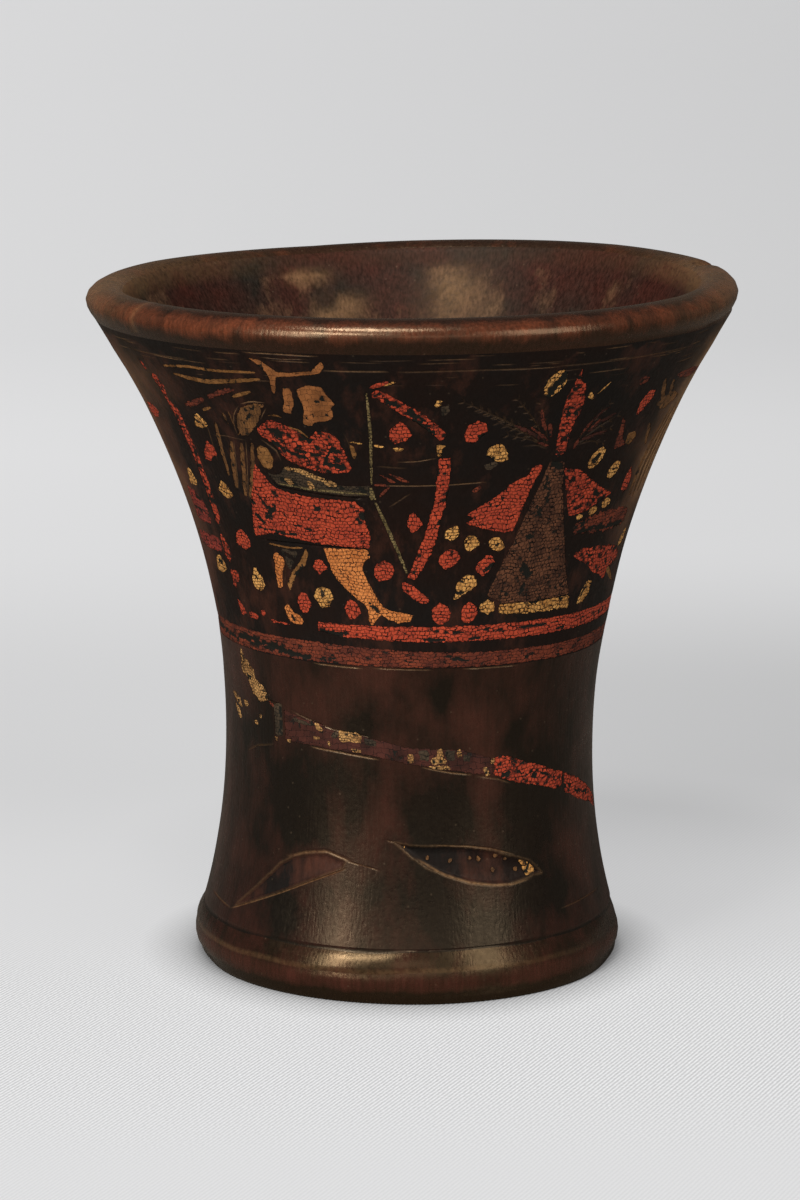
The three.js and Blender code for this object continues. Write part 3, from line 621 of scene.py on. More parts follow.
set_in("plant_left_leaf", [
    [(26.6, 140), (29, 140.5), (29, 139), (27.5, 134.7), (26.2, 129.3), (24.8, 123), (22.5, 123),
     (17.5, 124), (12.3, 126), (14.6, 127), (12.6, 128.3), (16.7, 131), (20.8, 134), (21.7, 135.8),
     (26.2, 138)],
], red_resin, ["plant_front_left_leaf"], ragged=0.3, lost=[
    (20.6, 132.4, 21.2, 131.8, 0.5), (17.8, 131.2, 18.4, 130.8, 0.4), (19.4, 130.4, 20, 130, 0.3)])
set_in("plant_right_leaf", [
    [(35.2, 138.8), (40, 137.8), (45.6, 134), (49.4, 131.7), (54.4, 129.4), (52.2, 128.7), (50, 127.7),
     (46.1, 126), (41.7, 125.3), (40.2, 125.7), (38.9, 128.7), (37.4, 132.7)],
], chipped_red_resin, ["plant_front_right_leaf"], ragged=0.3, lost=[
    (47.4, 130.6, 49, 130, 0.6), (50.4, 128.8, 51.4, 128.4, 0.5)])
set_in("plant_plume", [
    [(31.4, 166), (32, 162.4), (33.3, 161.9), (34.5, 158), (34.7, 154.7), (33.9, 150), (33.9, 143.3),
     (32.5, 142), (31.4, 143.3), (30.8, 150), (30.3, 155.3), (30.3, 157.7), (30.8, 162)],
], chipped_red_resin, ["plant_front_plume"], ragged=0.35, lost=[
    (31.4, 154.6, 32, 153.4, 0.6), (33.4, 154.2, 33.6, 153.6, 0.5), (31.2, 160.4, 32.4, 160, 0.3),
    (31, 163.6, 31.6, 163.4, 0.4)])
for part, slot, finish in (("trunk", "brown_resin", brown_resin), ("base", "ochre_resin", yellow_resin),
                           ("left_leaf", "red_resin", red_resin), ("right_leaf", "red_resin", red_resin),
                           ("plume", "red_resin", red_resin)):
    node = "plant_back_" + part
    set_in("far_plant_" + part, [cad_outline(node)], finish, [node], ragged=0.3)
set_in("frond_blades", [
    strip([(25.4, 155.6), (26.6, 152), (27.8, 149.6)], 1.0), strip([(28, 151.6), (29.4, 147.8)], 1.3),
    strip([(24, 151), (28.8, 147)], 0.8), strip([(26.4, 146.6), (29.4, 145.4)], 0.8),
    strip([(36.6, 146.6), (36, 143.8)], 1.0), strip([(38.8, 151.2), (36.8, 147.4)], 0.8),
    strip([(40.8, 151.4), (38.4, 147.8)], 0.7),
    [(47.4, 160.6), (48.6, 161.6), (50.2, 160.6), (49.4, 159.2), (48, 159.2)],
], dull_red_resin, ragged=0.25)
set_in("frond_leaves", [
    strip([(44.8, 152.4), (41.4, 150.4), (38.2, 148)], 1.1, 0.2),
    strip([(44, 147.6), (40.6, 147), (37.4, 146.2)], 1.0, 0.2),
    strip([(42.4, 154.6), (40.2, 153), (38.6, 150.8)], 0.9, 0.2),
    strip([(20.6, 151.6), (24, 149.6), (27.4, 147.2)], 0.9, 0.2),
], stem_resin, ragged=0.3)
FROND_ROOT = 144.6
FROND_RADIUS = 70.0
fronds = [(9.6, 158.6), (13.5, 156), (17, 152.6), (19.6, 149.2), (23, 145.8), (25, 157), (20, 158.6),
          (44.6, 148.2), (45.4, 151.4), (41.4, 155), (44, 144.6)]
for turn in (0, 180):
    for tip_bearing, tip_height in fronds:
        start = 29.2 if tip_bearing < 30 else 35.8
        bend = (0.55 * start + 0.45 * tip_bearing + turn, 0.55 * FROND_ROOT + 0.45 * tip_height + 1)
        spine = [(start + turn, FROND_ROOT), bend, (tip_bearing + turn, tip_height)]
        flat = even_steps(to_flat(spine, FROND_RADIUS), 2.0, False)
        incised.append((to_chart(flat, FROND_RADIUS), 0.6, 0.3, 0.15))
        ahead, across = directions(flat)
        for k in range(3, len(flat)):
            for side in (1, -1):
                blade = np.array([flat[k], flat[k] + 1.3 * ahead[k] + 1.1 * side * across[k]])
                old_resin = 0.25 if side * (30 - tip_bearing) > 0 else 0.1
                incised.append((to_chart(blade, FROND_RADIUS), 0.55, 0.25, old_resin))

# Fish and the figure at the right edge
# A red fish-like piece, and beside it a tall worn figure of which most resin is a thin grey-brown film.
set_in("fish_red", [
    [(45.8, 114.3), (49.4, 115.4), (56.1, 115.1), (63.9, 114), (69.4, 112.7), (72.8, 110), (72.2, 108.7),
     (66.1, 107.7), (65, 105), (63.3, 105), (61.1, 106.7), (56.1, 108), (52.8, 110.7), (47.2, 113)],
], chipped_red_resin, ["fish"], ragged=0.3, lost=[
    (51.4, 113.4, 54.4, 112.6, 0.35), (63, 110, 64, 109.4, 0.4)])
set_in("fish_band", [
    [(43, 122.6), (50, 124.4), (62, 124.6), (68, 123), (68, 119.4), (56, 119.2), (44, 120)],
], dull_red_resin, ragged=0.6, lost=[
    (46, 120.6, 66, 119.8, 0.7), (44, 122, 47, 122.6, 0.8)])
set_in("edge_figure", [
    strip([(65.2, 127), (64.8, 134), (66.4, 142.6), (69.4, 149)], 2.0, 0.4),
    strip([(68, 126), (67.8, 134), (69.8, 142.6), (72.6, 150)], 2.3, 0.4),
    strip([(71, 127), (71.2, 135), (73.2, 143.4), (75.8, 151)], 2.3, 0.4),
    strip([(74, 128.6), (74.6, 136), (76.6, 144), (79, 151.6)], 2.2, 0.4),
    strip([(77.2, 131), (78.2, 138), (80, 145), (82.2, 151.6)], 2.0, 0.4),
    [(58, 152.4), (63, 150), (70, 152.4), (66, 154.4), (60.6, 154)],
    strip([(56.4, 159.2), (58.4, 156), (60.2, 153.2)], 1.6),
    strip([(60.6, 158.4), (62.4, 155.6), (64.4, 152.6)], 1.6),
    strip([(59.4, 147.2), (61.4, 143.6), (62.4, 141)], 1.4),
], grey_brown_resin, ragged=0.3)
set_in("edge_red", [
    [(61, 159.7), (66, 160.3), (76, 158.8), (80, 157.4), (70, 157.3), (63, 158.4)],
    [(47.5, 150.8), (48.9, 149.4), (50, 145.4), (52.2, 142.7), (48.9, 142), (48.3, 145.4)],
], dull_red_resin, ragged=0.2)
set_in("edge_ochre", [
    [(65, 108), (67.8, 107.4), (72.8, 104.2), (75, 102.6), (71.1, 103.7), (66.1, 106.3)],
    [(51.9, 145.6), (54, 146.1), (55.6, 144.6), (54.4, 142.4), (52.2, 142.8)],
], worn_ochre_resin, ragged=0.2)

# Dots
# Drops of red and ochre resin that fill the ground between the figures; many have lost part of their flakes.
dot_shapes = {
    "red_dot_1": [(-53.3, 139), (-52, 142), (-49.7, 144.7), (-48.2, 142.7), (-47.9, 140.8), (-50, 140.3),
                  (-51, 138.8)],
    "red_dot_2": [(-51.3, 116.6), (-50.2, 119.6), (-48, 121), (-46, 119.4), (-45.4, 116.8), (-48, 115.2)],
    "red_dot_3": [(-32.8, 103), (-32, 105.2), (-30.6, 106), (-28.9, 105), (-28.5, 102.8), (-29.8, 100.8),
                  (-31.6, 100.4)],
    "red_dot_4": [(-26.4, 113.3), (-25.4, 115.2), (-24.3, 115.7), (-22.3, 113.3), (-24, 112),
                  (-24.8, 111.2)],
    "red_dot_5": [(-18.6, 102.4), (-17.8, 104.6), (-16.4, 105.1), (-14.8, 103.8), (-14.1, 101.6),
                  (-16, 99.9), (-17.6, 99.8)],
    "red_dot_6": [(-10, 112.6), (-9.4, 114.9), (-7, 116), (-5.2, 114.8), (-4.5, 113), (-6, 111),
                  (-8.8, 110.2)],
    "red_dot_7": [(-2.5, 153.8), (-0.8, 151.8), (-0.2, 150), (-1.5, 148.3), (-3.7, 147.6), (-4.8, 149.3),
                  (-4.4, 151.7)],
    "red_dot_8": [(0.3, 129.2), (2.5, 126), (1.2, 124.3), (-0.3, 123.6), (-1.5, 126), (-1, 128.2)],
    "red_dot_9": [(9.2, 119.4), (10.9, 118.4), (11.9, 116.7), (10.4, 114.6), (8, 113.6), (6.4, 115.4),
                  (6.7, 117.2), (8, 118.4)],
    "red_dot_10": [(18.8, 117), (20, 116.7), (21.1, 114.7), (19.8, 112.7), (17.9, 111.2), (16.2, 113),
                   (16.2, 114.8)],
    "red_dot_11": [(7, 104.7), (9.2, 103.6), (10.2, 101.7), (9.6, 99.7), (8.3, 98.9), (6.6, 98.8),
                   (5.2, 100.4), (5, 102.8)],
    "red_dot_12": [(15.2, 104.7), (17, 103.4), (17.6, 101.6), (16.7, 99.6), (15, 98.8), (13.3, 99.7),
                   (12.9, 102), (13.8, 103.7)],
    "red_dot_13": [(10.8, 152.3), (12.7, 153.5), (14.4, 152.7), (15, 150.3), (13.4, 148.7), (12.1, 147.4),
                   (10.8, 148), (10.4, 150)],
    "ochre_dot_1": [(-52.4, 130.8), (-50, 133.8), (-48.7, 133.2), (-46.9, 130), (-49.5, 128.9)],
    "ochre_dot_2": [(-46, 111.2), (-44, 108.4), (-43.3, 106.2), (-45.4, 104.4), (-47.8, 105.2),
                    (-48.2, 107.8)],
    "ochre_dot_3": [(-27.2, 105), (-26.4, 107.2), (-24.6, 108), (-22.4, 107.6), (-21.6, 105.4),
                    (-23, 102.8), (-25.4, 102.2)],
    "ochre_dot_4": [(14.4, 112), (16, 111.4), (16.8, 109.4), (15.4, 107.8), (13, 106.6), (11.2, 105.2),
                    (10.4, 105.6), (11.2, 107.2), (11.2, 109.4), (12.5, 111)],
    "ochre_dot_5": [(17.1, 147), (18.8, 146.7), (20, 144.4), (20.6, 142.7), (19.2, 142), (17.1, 142.7),
                    (15.4, 144), (15.6, 145.7)],
}
dot_lost = {"red_dot_10": (19, 113.2, 20.8, 114.4, 0.8), "red_dot_13": (13.4, 149.2, 14.8, 149.8, 0.6),
            "red_dot_7": (-3.6, 148.4, -1.8, 148.6, 0.3), "ochre_dot_4": (11.4, 107.4, 15, 107.2, 0.35),
            "ochre_dot_2": (-46.4, 108.6, -45.6, 106.8, 0.3), "ochre_dot_5": (15.6, 143.6, 17.4, 142.6, 0.5)}
for node, shape in dot_shapes.items():
    finish, slot = (red_resin, "red_resin") if node.startswith("red") else (yellow_resin, "ochre_resin")
    lost = [dot_lost[node]] if node in dot_lost else []
    set_in(node + "_resin", [shape], finish, [node], ragged=0.25, lost=lost)


# A rounded drop between two bearings and two heights.
def drop(west, east, low, high, point=0.3, lean=0.0):
    turn = np.linspace(0, 2 * math.pi, 9, endpoint=False)
    across, tall = np.cos(turn), np.sin(turn) * (1 - point * np.cos(turn))
    bearing = (west + east) / 2 + (east - west) / 2 * across + lean * tall
    return np.stack([bearing, (low + high) / 2 + (high - low) / 2 * tall], 1)


set_in("small_ochre_drops", [
    [(-52, 148.2), (-50.5, 151.4), (-49.4, 152), (-48, 150.6), (-47.3, 148.8), (-49.5, 148)],
    [(8.3, 124.7), (10.6, 125.4), (11.3, 123), (9.6, 121.3), (7.7, 122), (7.7, 123.7)],
    [(13.1, 122.3), (15, 122.7), (16.7, 120), (14.2, 118.3), (12.7, 119), (12.5, 121)],
    [(19.8, 121.7), (21.5, 121.7), (23.3, 119), (21.7, 117.7), (19.4, 118.7), (18.7, 120.7)],
    drop(41.8, 46, 137.6, 143.3, 0, 0.8), drop(49.8, 53.7, 133.9, 138.6, 0, 0.5),
    drop(51.7, 55.5, 125.7, 128.4), drop(47.4, 50.5, 124.5, 126.9), drop(43.2, 45.7, 123.7, 125.3, 0.3),
    [(51.7, 100), (52.8, 103.3), (55, 106), (57.5, 105.3), (56.9, 102), (53.9, 100)],
    drop(70, 74.6, 112.3, 117, 0, 1), [(35, 158.2), (35.4, 159.6), (36.8, 157.2), (35.8, 157)],
    drop(24.7, 28.8, 158.8, 166, 0, 0.6), [(4, 157.6), (4.4, 159.4), (5.6, 159.4), (5, 157.4)],
    [(-66.9, 130.4), (-65.4, 134.4), (-63.6, 135.2), (-61.9, 132), (-62.6, 130.4), (-65.4, 129.8)],
    [(-66.5, 107), (-65, 110.8), (-62.6, 111.8), (-60.2, 110), (-59.8, 108), (-63, 106.8)],
    strip([(37.2, 158.2), (39.6, 161.6)], 0.5),
], yellow_resin, ragged=0.2, lost=[
    (43.2, 140, 44.4, 140.8, 0.9), (51.3, 136.2, 52.2, 136.4, 0.4), (20.8, 119.8, 21.4, 119.6, 0.4),
    (26.4, 160.6, 27.8, 164, 1.3), (53.6, 103, 54.6, 104.4, 0.5), (-63.4, 110, -62, 109.6, 0.7),
    (-51, 150, -49, 149, 0.3)])
set_in("small_red_drops", [
    [(51.6, 151), (51.2, 154), (52.8, 157), (55, 156.7), (55.3, 154.6), (53.8, 152), (52.2, 150.5)],
    [(59.7, 135.7), (62.2, 132), (62, 129.4), (60, 128.7), (58.4, 130), (58.6, 132.7)],
    [(-76, 148), (-74, 151), (-70, 151.2), (-67.4, 149.6), (-70, 147.4), (-74, 147)],
], red_resin, ragged=0.25)
far_red = [(100, 141), (108, 118), (118, 104), (128, 150), (140, 112), (150, 128), (163, 146), (172, 104),
           (184, 130), (192, 149), (232, 147), (240, 120), (246, 104), (254, 137)]
far_ochre = [(96, 126), (112, 151), (121, 131), (134, 126), (146, 149), (157, 106), (176, 118), (188, 109),
             (236, 134), (249, 152), (255, 114)]
set_in("far_red_drops", [drop(b, b + 5, h, h + 5.4, 0.2) for b, h in far_red],
       red_resin, ragged=0.25)
set_in("far_ochre_drops", [drop(b, b + 5, h, h + 5.2, 0.3) for b, h in far_ochre],
       yellow_resin, ragged=0.25)
set_in("dot_tails", [
    [(15.2, 141.4), (17, 142.3), (18.6, 141.6), (17, 140), (15.8, 140.2)],
    [(5.2, 157.2), (6.8, 158.4), (7, 156), (5.6, 155)], drop(-25.2, -24, 105, 107.4, 0.2),
], olive_resin, ragged=0.2, proud=0.04, sunk=False)

# Branch on the lower wall
# A jointed branch that runs down to the right: an ochre spike, a knuckle, a dark red stem with ochre squares
# and an olive film laid over it, and two red lengths at its end.
set_in("branch_spike_ochre", [
    [(-61.8, 86), (-60.8, 86.8), (-59.8, 84.6), (-57.2, 83.6), (-54.6, 81.8), (-53.6, 79.4), (-49, 77.5),
     (-47.9, 74.8), (-51.4, 73.7), (-55.7, 75.4), (-58.4, 79.2), (-61.8, 80.4)],
], smoked_ochre_resin, ["branch_spike"], ragged=0.35, lost=[
    (-58, 79.8, -56.4, 79.6, 0.5), (-60.6, 84.6, -60, 84.2, 0.4), (-50.6, 76.8, -49.4, 76, 0.3)])
set_in("branch_stem_red", [
    [(-41.2, 73.2), (-35, 71.6), (-29.3, 71.2), (-25, 69.6), (-14.3, 68.6), (-8, 67.4), (0, 65.6),
     (6, 65.4), (15, 65), (22, 63), (25.4, 62), (25.8, 57.6), (20, 58.4), (12, 59.8), (0, 61.6),
     (-10, 63.4), (-20, 64.4), (-30.7, 65), (-41, 65)],
], stem_resin, ["branch_stem"], ragged=0.3)
set_in("branch_red_length", [
    [(26.1, 61.7), (28.2, 62.5), (30.7, 61.9), (35.7, 60.4), (42.9, 58.4), (50, 55.6), (54.3, 54.8),
     (53.9, 51.4), (50.7, 50.7), (44.3, 52.5), (35, 54.6), (31.8, 55.7), (26.4, 57.5)],
], chipped_red_resin, ["branch_red_tip"], ragged=0.35, lost=[
    (29, 57, 31, 57.4, 0.5), (35, 57.4, 38, 56.4, 0.35), (40.6, 56, 41.4, 55.6, 0.8),
    (44, 56, 48, 54.8, 0.35), (49.6, 53.8, 50.4, 53, 0.4), (27, 59.6, 27.4, 58.6, 0.3)])
set_in("branch_red_last", [
    [(54.9, 54.4), (64.3, 51.2), (75, 46.4), (82, 42.6), (82, 39.8), (75, 42.6), (64.3, 45.7),
     (55.2, 49.2)],
], chipped_red_resin, ["branch_red_end"], ragged=0.3, lost=[
    (62, 48.4, 73, 45.6, 0.3), (55.4, 51, 56.4, 50.4, 0.5)])
set_in("branch_squares", [
    [(-21.8, 69.6), (-16, 69.4), (-14.8, 68.6), (-14.8, 66.7), (-19, 66.8), (-21.6, 66.8)],
    [(-30, 70.8), (-28.4, 71), (-27, 69.4), (-28.6, 68.8), (-29.6, 69.4)],
    [(-30.8, 67.4), (-28.2, 67.4), (-28.4, 66.6), (-30.4, 66.6)],
    [(6.2, 63), (8, 63.4), (8.4, 65.6), (9.6, 65.6), (9.9, 63), (11, 62.4), (10.6, 61.4), (6.2, 61.6)],
    [(5.4, 61.1), (11.6, 61), (12.2, 60), (9, 60), (5.8, 60.6)],
    [(13.9, 65), (15, 65.4), (15.6, 63.2), (14.2, 62.8)],
    [(-0.8, 64.2), (0.8, 64.4), (1.2, 62), (-0.4, 61.6)],
    [(22.4, 59.8), (24, 59.8), (24.8, 57.4), (23.4, 57.4)],
    [(-17.8, 65.2), (-14.8, 65), (-14.8, 64.2), (-17.6, 64.2)],
    [(25, 61.9), (26.2, 62.1), (26.3, 60.6), (25.1, 60.5)],
    [(-40.4, 65.4), (-38.8, 65.6), (-38.8, 64.6), (-40.2, 64.6)],
    [(-25.4, 66.6), (-24.7, 66.6), (-24.6, 65.2), (-25.2, 65.2)],
], smoked_ochre_resin, ragged=0.25, proud=0.1, sunk=False)
set_in("branch_film", [
    [(-38, 71.6), (-33, 71), (-31, 70.2), (-34, 70), (-38, 70.8)],
    [(-24, 69), (-22, 69.2), (-22.2, 67.4), (-24.4, 67.8)],
    [(-13.8, 68), (-10, 67.6), (-10.4, 66), (-13.6, 66.4)],
    [(2.2, 65.2), (5.4, 65.2), (5.8, 62.4), (3, 62.8)],
    [(10.4, 65.2), (13.4, 65), (13.4, 62.2), (10.8, 62.6)],
    [(16, 64), (18.4, 63.4), (18, 61.6), (16.2, 62)],
], olive_resin, ragged=0.3, proud=0.06, sunk=False)
set_in("branch_chips", [
    [(-70.4, 73.6), (-67.4, 73.7), (-64, 72.2), (-62.6, 70.4), (-66.4, 71), (-69.4, 72)],
    [(-62.2, 73), (-59.4, 72.8), (-58.8, 71.4), (-61.4, 71.2)],
    [(-68.6, 70.6), (-66, 70), (-63.6, 67.6), (-65.2, 67.2), (-67.8, 69)],
    [(-55.4, 68.1), (-53.6, 68.4), (-53.8, 67.1), (-55.2, 67.2)],
    [(-45.8, 65.6), (-44.2, 65.4), (-44.4, 64.4), (-45.6, 64.4)],
    [(-53, 70), (-51.6, 70.2), (-51.8, 69.4), (-53, 69.4)],
], smoked_ochre_resin, ragged=0.35)
set_in("branch_knuckle", [
    [(-46, 73.8), (-43.8, 74.8), (-42.2, 74.4), (-42, 66), (-45.4, 65.8), (-45.4, 70)],
], olive_resin, ragged=0.25, lost=[(-43, 73.6, -42.8, 67, 0.5)])
set_in("branch_tail", [
    strip([(-48, 74.6), (-45.6, 73.4), (-44.6, 73)], 0.8),
], dull_red_resin, ragged=0.2)
incised += [
    ([(-32, 64.5), (-22, 64), (-15, 63.3), (-9, 62.6)], 0.5, 0.2, 0.7),
    ([(3, 60.8), (12, 59.1), (19, 58.2)], 0.5, 0.2, 0.6),
    ([(20, 57.8), (27, 56.5), (32, 54.8)], 0.5, 0.2, 0.4),
    ([(-39, 73.4), (-33, 72), (-24, 69.9), (-12, 68.5)], 0.6, 0.3, 0.15),
    ([(-60, 59.4), (-54, 61.8), (-46, 63.2)], 0.8, 0.3, 0.2),
    ([(-53, 77), (-48, 74.9), (-41, 73.8)], 0.8, 0.4, 0.05),
]

# Empty leaf pockets near the foot
# Two leaf shapes scooped out of the wall that have lost nearly all their resin, with thin lines cut beside
# them. Each has its outline and its depth in mm.
scoops = [
    ([(-4.5, 41.2), (0, 40.5), (5, 40.1), (11, 40.1), (18, 39.3), (25, 38), (29.3, 36.4), (35, 35),
      (38.6, 33.6), (42.9, 29.8), (40, 29.9), (35.7, 29.2), (30.7, 28.6), (25, 28.9), (17.9, 30),
      (10, 32.5), (4.3, 35), (0, 37.9)], 0.9),
    ([(-58, 18.6), (-48, 26.6), (-41, 32.6), (-36, 35.4), (-31, 36.6), (-25, 37.4), (-18.6, 35.8),
      (-19.4, 33.8), (-30, 29.4), (-40, 25.2), (-50, 21.2)], 0.45),
]
set_in("leaf_residue", [
    [(34.6, 33.8), (35.6, 35), (37, 34.2), (38.4, 33.4), (39.8, 32.4), (40, 30.4), (38.4, 29.8),
     (36.2, 30.2), (36.2, 32)],
    drop(-3.4, -1.4, 38.8, 40.6),
], yellow_resin, ragged=0.45, proud=-0.45, sunk=False, lost=[(37, 31, 38, 33, 0.5)])
set_in("leaf_specks", [
    drop(11.8, 13.0, 35.6, 36.6), drop(17.8, 19.2, 35.8, 36.9), drop(20.6, 22, 35.4, 36.6),
    drop(26, 27.6, 35.8, 37), drop(24.8, 26.2, 32.2, 33.6), drop(32.6, 34, 31.6, 32.8),
    drop(29.2, 30.6, 34.8, 35.8), drop(5, 6, 36.6, 37.6),
], grey_brown_resin, ragged=0.3, proud=-0.5, sunk=False)
incised += [
    ([(-60, 17.3), (-50, 21.1), (-40, 25), (-30, 29.2), (-18, 34)], 0.6, 0.3, 0.6),
    ([(-76, 18.6), (-68, 18), (-60, 17.4)], 0.6, 0.25, 0.3),
    ([(-39, 34.6), (-31, 36.9), (-25, 37.7), (-16.6, 35.6)], 1.1, 0.2, 0.4),
    ([(-19, 35.8), (-13, 34.8), (-8, 33.8)], 0.5, 0.3, 0.3),
    ([(48, 19.6), (60, 20), (72, 20.2)], 0.5, 0.2, 0.25),
    ([(-6.8, 41.6), (-4.4, 41.2)], 0.6, 0.3, 0.3),
    ([(2, 37), (10, 32.8), (18, 30.2), (25, 29), (31, 28.5), (38, 29.2)], 0.9, 0.15, 0.55),
    ([(6, 40.5), (18, 39.6), (25, 38.4), (33, 36)], 0.6, 0.15, 0.4),
]

# Beaker
# The block itself: a rolled lip and a rounded foot rubbed red-brown by hands, a wall below the bands mottled
# by smoke, a picture ground dulled nearly black, a hollow stained by drink, and scratches under the lip.
marks = np.random.default_rng(7)
for _ in range(80):
    start = marks.uniform(-75, 75) if marks.uniform() < 0.7 else marks.uniform(75, 250)
    level = marks.choice([163.4, 164.8, 166.2, 167.2, 168.2, 169.4, 170.4]) + marks.uniform(-0.5, 0.5)
    bearings = np.linspace(start, start + marks.uniform(2, 9), 4)
    scratch = [(b, level + 0.2 * math.sin(b / 5)) for b in bearings]
    incised.append((scratch, 0.4, 0.15, marks.uniform(0.05, 0.5)))
for start, end, level, old_resin in (
        (-62, -44, 167.4, 0.25), (-16, -4, 167.2, 0.5), (-3, 22, 167.0, 0.2), (26, 60, 167.2, 0.2)):
    scratch = [(b, level + 0.15 * math.sin(b / 7)) for b in np.linspace(start, end, 6)]
    incised.append((scratch, 0.6, 0.2, old_resin))
# The wall is unrolled from START, filled with triangles along every cut line, and bent round again.
AROUND = 360
START = -95.0
UNROLLED_RADIUS = 60.0
columns = np.arange(START, START + AROUND + 0.01, 1.0)
rows = np.linspace(WALL_BASE, WALL_TOP, 61)
points, links = [], []


# The lower edge of the picture ground, just below the bands.
def ground_line(at):
    return np.interp(at, *lower_base) - 0.3


def draw_line(chart_line, closed):
    first = len(points)
    points.extend((math.radians(b) * UNROLLED_RADIUS, h) for b, h in chart_line)
    links.extend((i, i + 1) for i in range(first, len(points) - 1))
    if closed:
        links.append((len(points) - 1, first))


draw_line([(b, WALL_BASE) for b in columns], False)
draw_line([(b, WALL_TOP) for b in columns], False)
draw_line([(b, ground_line(b)) for b in columns], False)
draw_line([(columns[0], h) for h in rows], False)
draw_line([(columns[-1], h) for h in rows], False)
for ring in pockets:
    draw_line(ring, True)
grooves = []
for line, width, deep, tinge in incised:
    reference = middle_radius(line)
    flat = even_steps(to_flat(line, reference), 1.2, False)
    side = directions(flat)[1] * width / 2
    for shift in (0, 1, -1, 1.8, -1.8):
        draw_line(to_chart(flat + shift * side, reference), False)
    grooves.append((flat, reference, width / 2, deep, tinge))
bowls = []
for outline, deep in scoops:
    ring, reference = hand_cut(outline, 0.15, deep)
    for shift in (0.5, 0.2, 0, -0.3, -0.7, -1.2):
        draw_line(to_chart(moved_out(ring, shift), reference), True)
    bowls.append((ring, reference, deep))
for k, h in enumerate(rows[1:-1]):
    points.extend((math.radians(b + k % 2) * UNROLLED_RADIUS, h) for b in columns[1:-1:2])
flat, _, faces, _, _, _ = delaunay_2d_cdt([Vector(p) for p in points], links, [], 0, SNAP)
flat = np.array([tuple(p) for p in flat])
faces = np.array([f for f in faces if len(f) == 3])
bearing, height = np.degrees(flat[:, 0] / UNROLLED_RADIUS), flat[:, 1]
cut = np.zeros(len(flat))
tinge = np.zeros(len(flat))
for path, reference, half, deep, amount in grooves:
    here = to_flat(np.stack([bearing, height], 1), reference)
    low, high = path.min(0) - half, path.max(0) + half
    near = np.where(((here >= low) & (here <= high)).all(1))[0]
    share = np.clip(1 - distance_to(here[near], path) / half, 0, 1)
    fade = 0.3 * np.hypot(*np.diff(path, axis=0).T).sum()
    for end in (path[0], path[-1]):
        share = share * np.clip(np.hypot(*(here[near] - end).T) / min(fade, 3.0), 0, 1)
    cut[near] = np.minimum(cut[near], -deep * share)
    tinge[near] = np.maximum(tinge[near], amount * share)
for ring, reference, deep in bowls:
    here = to_flat(np.stack([bearing, height], 1), reference)
    away = distance_to(here, np.vstack([ring, ring[:1]]))
    inside = within(here, ring)
    cut = np.where(inside, np.minimum(cut, -deep * np.clip(away / 1.1, 0, 1)), cut)
    # A pale rim round each pocket, partly wear and partly painted highlight on its edges.
    tinge = np.maximum(tinge, 0.16 * np.clip(1 - away / 0.5, 0, 1))
middle = np.stack([bearing[faces].mean(1), height[faces].mean(1)], 1)
depth = np.zeros(len(faces))
for ring in pockets:
    low, high = ring.min(0), ring.max(0)
    near = np.where(((middle >= low) & (middle <= high)).all(1))[0]
    depth[near[within(middle[near], ring)]] = POCKET_DEPTH
LIP, HOLLOW, SMOKED, DULLED, FOOT = range(5)
copies, where, polygons, finish_of = {}, [], [], []


# A point of the wall is kept once for each depth it has, so pocket walls stand upright.
def corner(v, d):
    if (v, d) not in copies:
        copies[(v, d)] = len(where)
        where.append((bearing[v], height[v], -d if d else cut[v], 0.0 if d else tinge[v]))
    return copies[(v, d)]


owner = {}
for f, d, (at, up) in zip(faces.tolist(), depth.tolist(), middle):
    polygons.append(tuple(corner(i, d) for i in f))
    for a, b in zip(f, f[1:] + f[:1]):
        owner[(a, b)] = d
    plain = up < ground_line(at) and min(cut[f]) > -0.4
    finish_of.append(SMOKED if plain else DULLED)
for (a, b), d in owner.items():
    other = owner.get((b, a), d)
    if d < other:
        polygons.append((corner(b, d), corner(a, d), corner(a, other), corner(b, other)))
        finish_of.append(SMOKED if height[a] < ground_line(bearing[a]) else DULLED)
where = np.array(where)
verts = [on_wall(where[:, 0], where[:, 1], where[:, 2])]
bearings, heights, tinges = [where[:, 0]], [where[:, 1]], [where[:, 3]]
lip = [(83.4, 172.2), (84.1, 173.2), (84.75, 174.5), (85.05, 176.0), (84.5, 177.5), (83.3, 178.7),
       (81.8, 179.5), (80.0, 179.9), (78.2, 179.8), (76.7, 179.3), (75.4, 178.3), (74.5, 177.0),
       (73.9, 175.4)]
WALL_THICKNESS = 10.0
FLOOR_LEVEL = 18.0
FLOOR_ROUND = 16.0
bend_top = FLOOR_LEVEL + FLOOR_ROUND
hollow_wall = [(float(wall_radius(h)) - WALL_THICKNESS, h) for h in np.linspace(172.5, bend_top, 40)]
hollow_floor = [(24.6 + FLOOR_ROUND * math.cos(a), bend_top - FLOOR_ROUND * math.sin(a))
                for a in np.linspace(0.2, math.pi / 2, 7)]
hollow_floor += [(16, FLOOR_LEVEL), (8, FLOOR_LEVEL)]
foot = [(54.53, 13.9), (54.56, 13.5), (54.75, 13.1), (55.08, 12.5), (55.5, 11.6), (55.9, 10.6), (56.2, 9.6),
        (56.4, 8.8), (56.45, 8.3), (56.55, 7.8), (56.8, 6.8), (56.9, 5.2), (56.65, 3.8), (56.4, 2.2),
        (56.2, 1.0), (56.05, 0.35), (55.8, 0.0), (40, 0), (24, 0), (10, 0)]
spokes = columns[:-1]
chip = np.clip(1 - np.abs(spokes - 103) / 3.6, 0, 1) ** 0.5
scar = np.clip(1 - np.abs(spokes + 56) / 1.6, 0, 1)
wave = 0.25 * np.sin(np.radians(3 * spokes + 40)) + 0.18 * np.sin(np.radians(7 * spokes))
wave += 0.12 * np.sin(np.radians(17 * spokes + 80))
count = len(where)
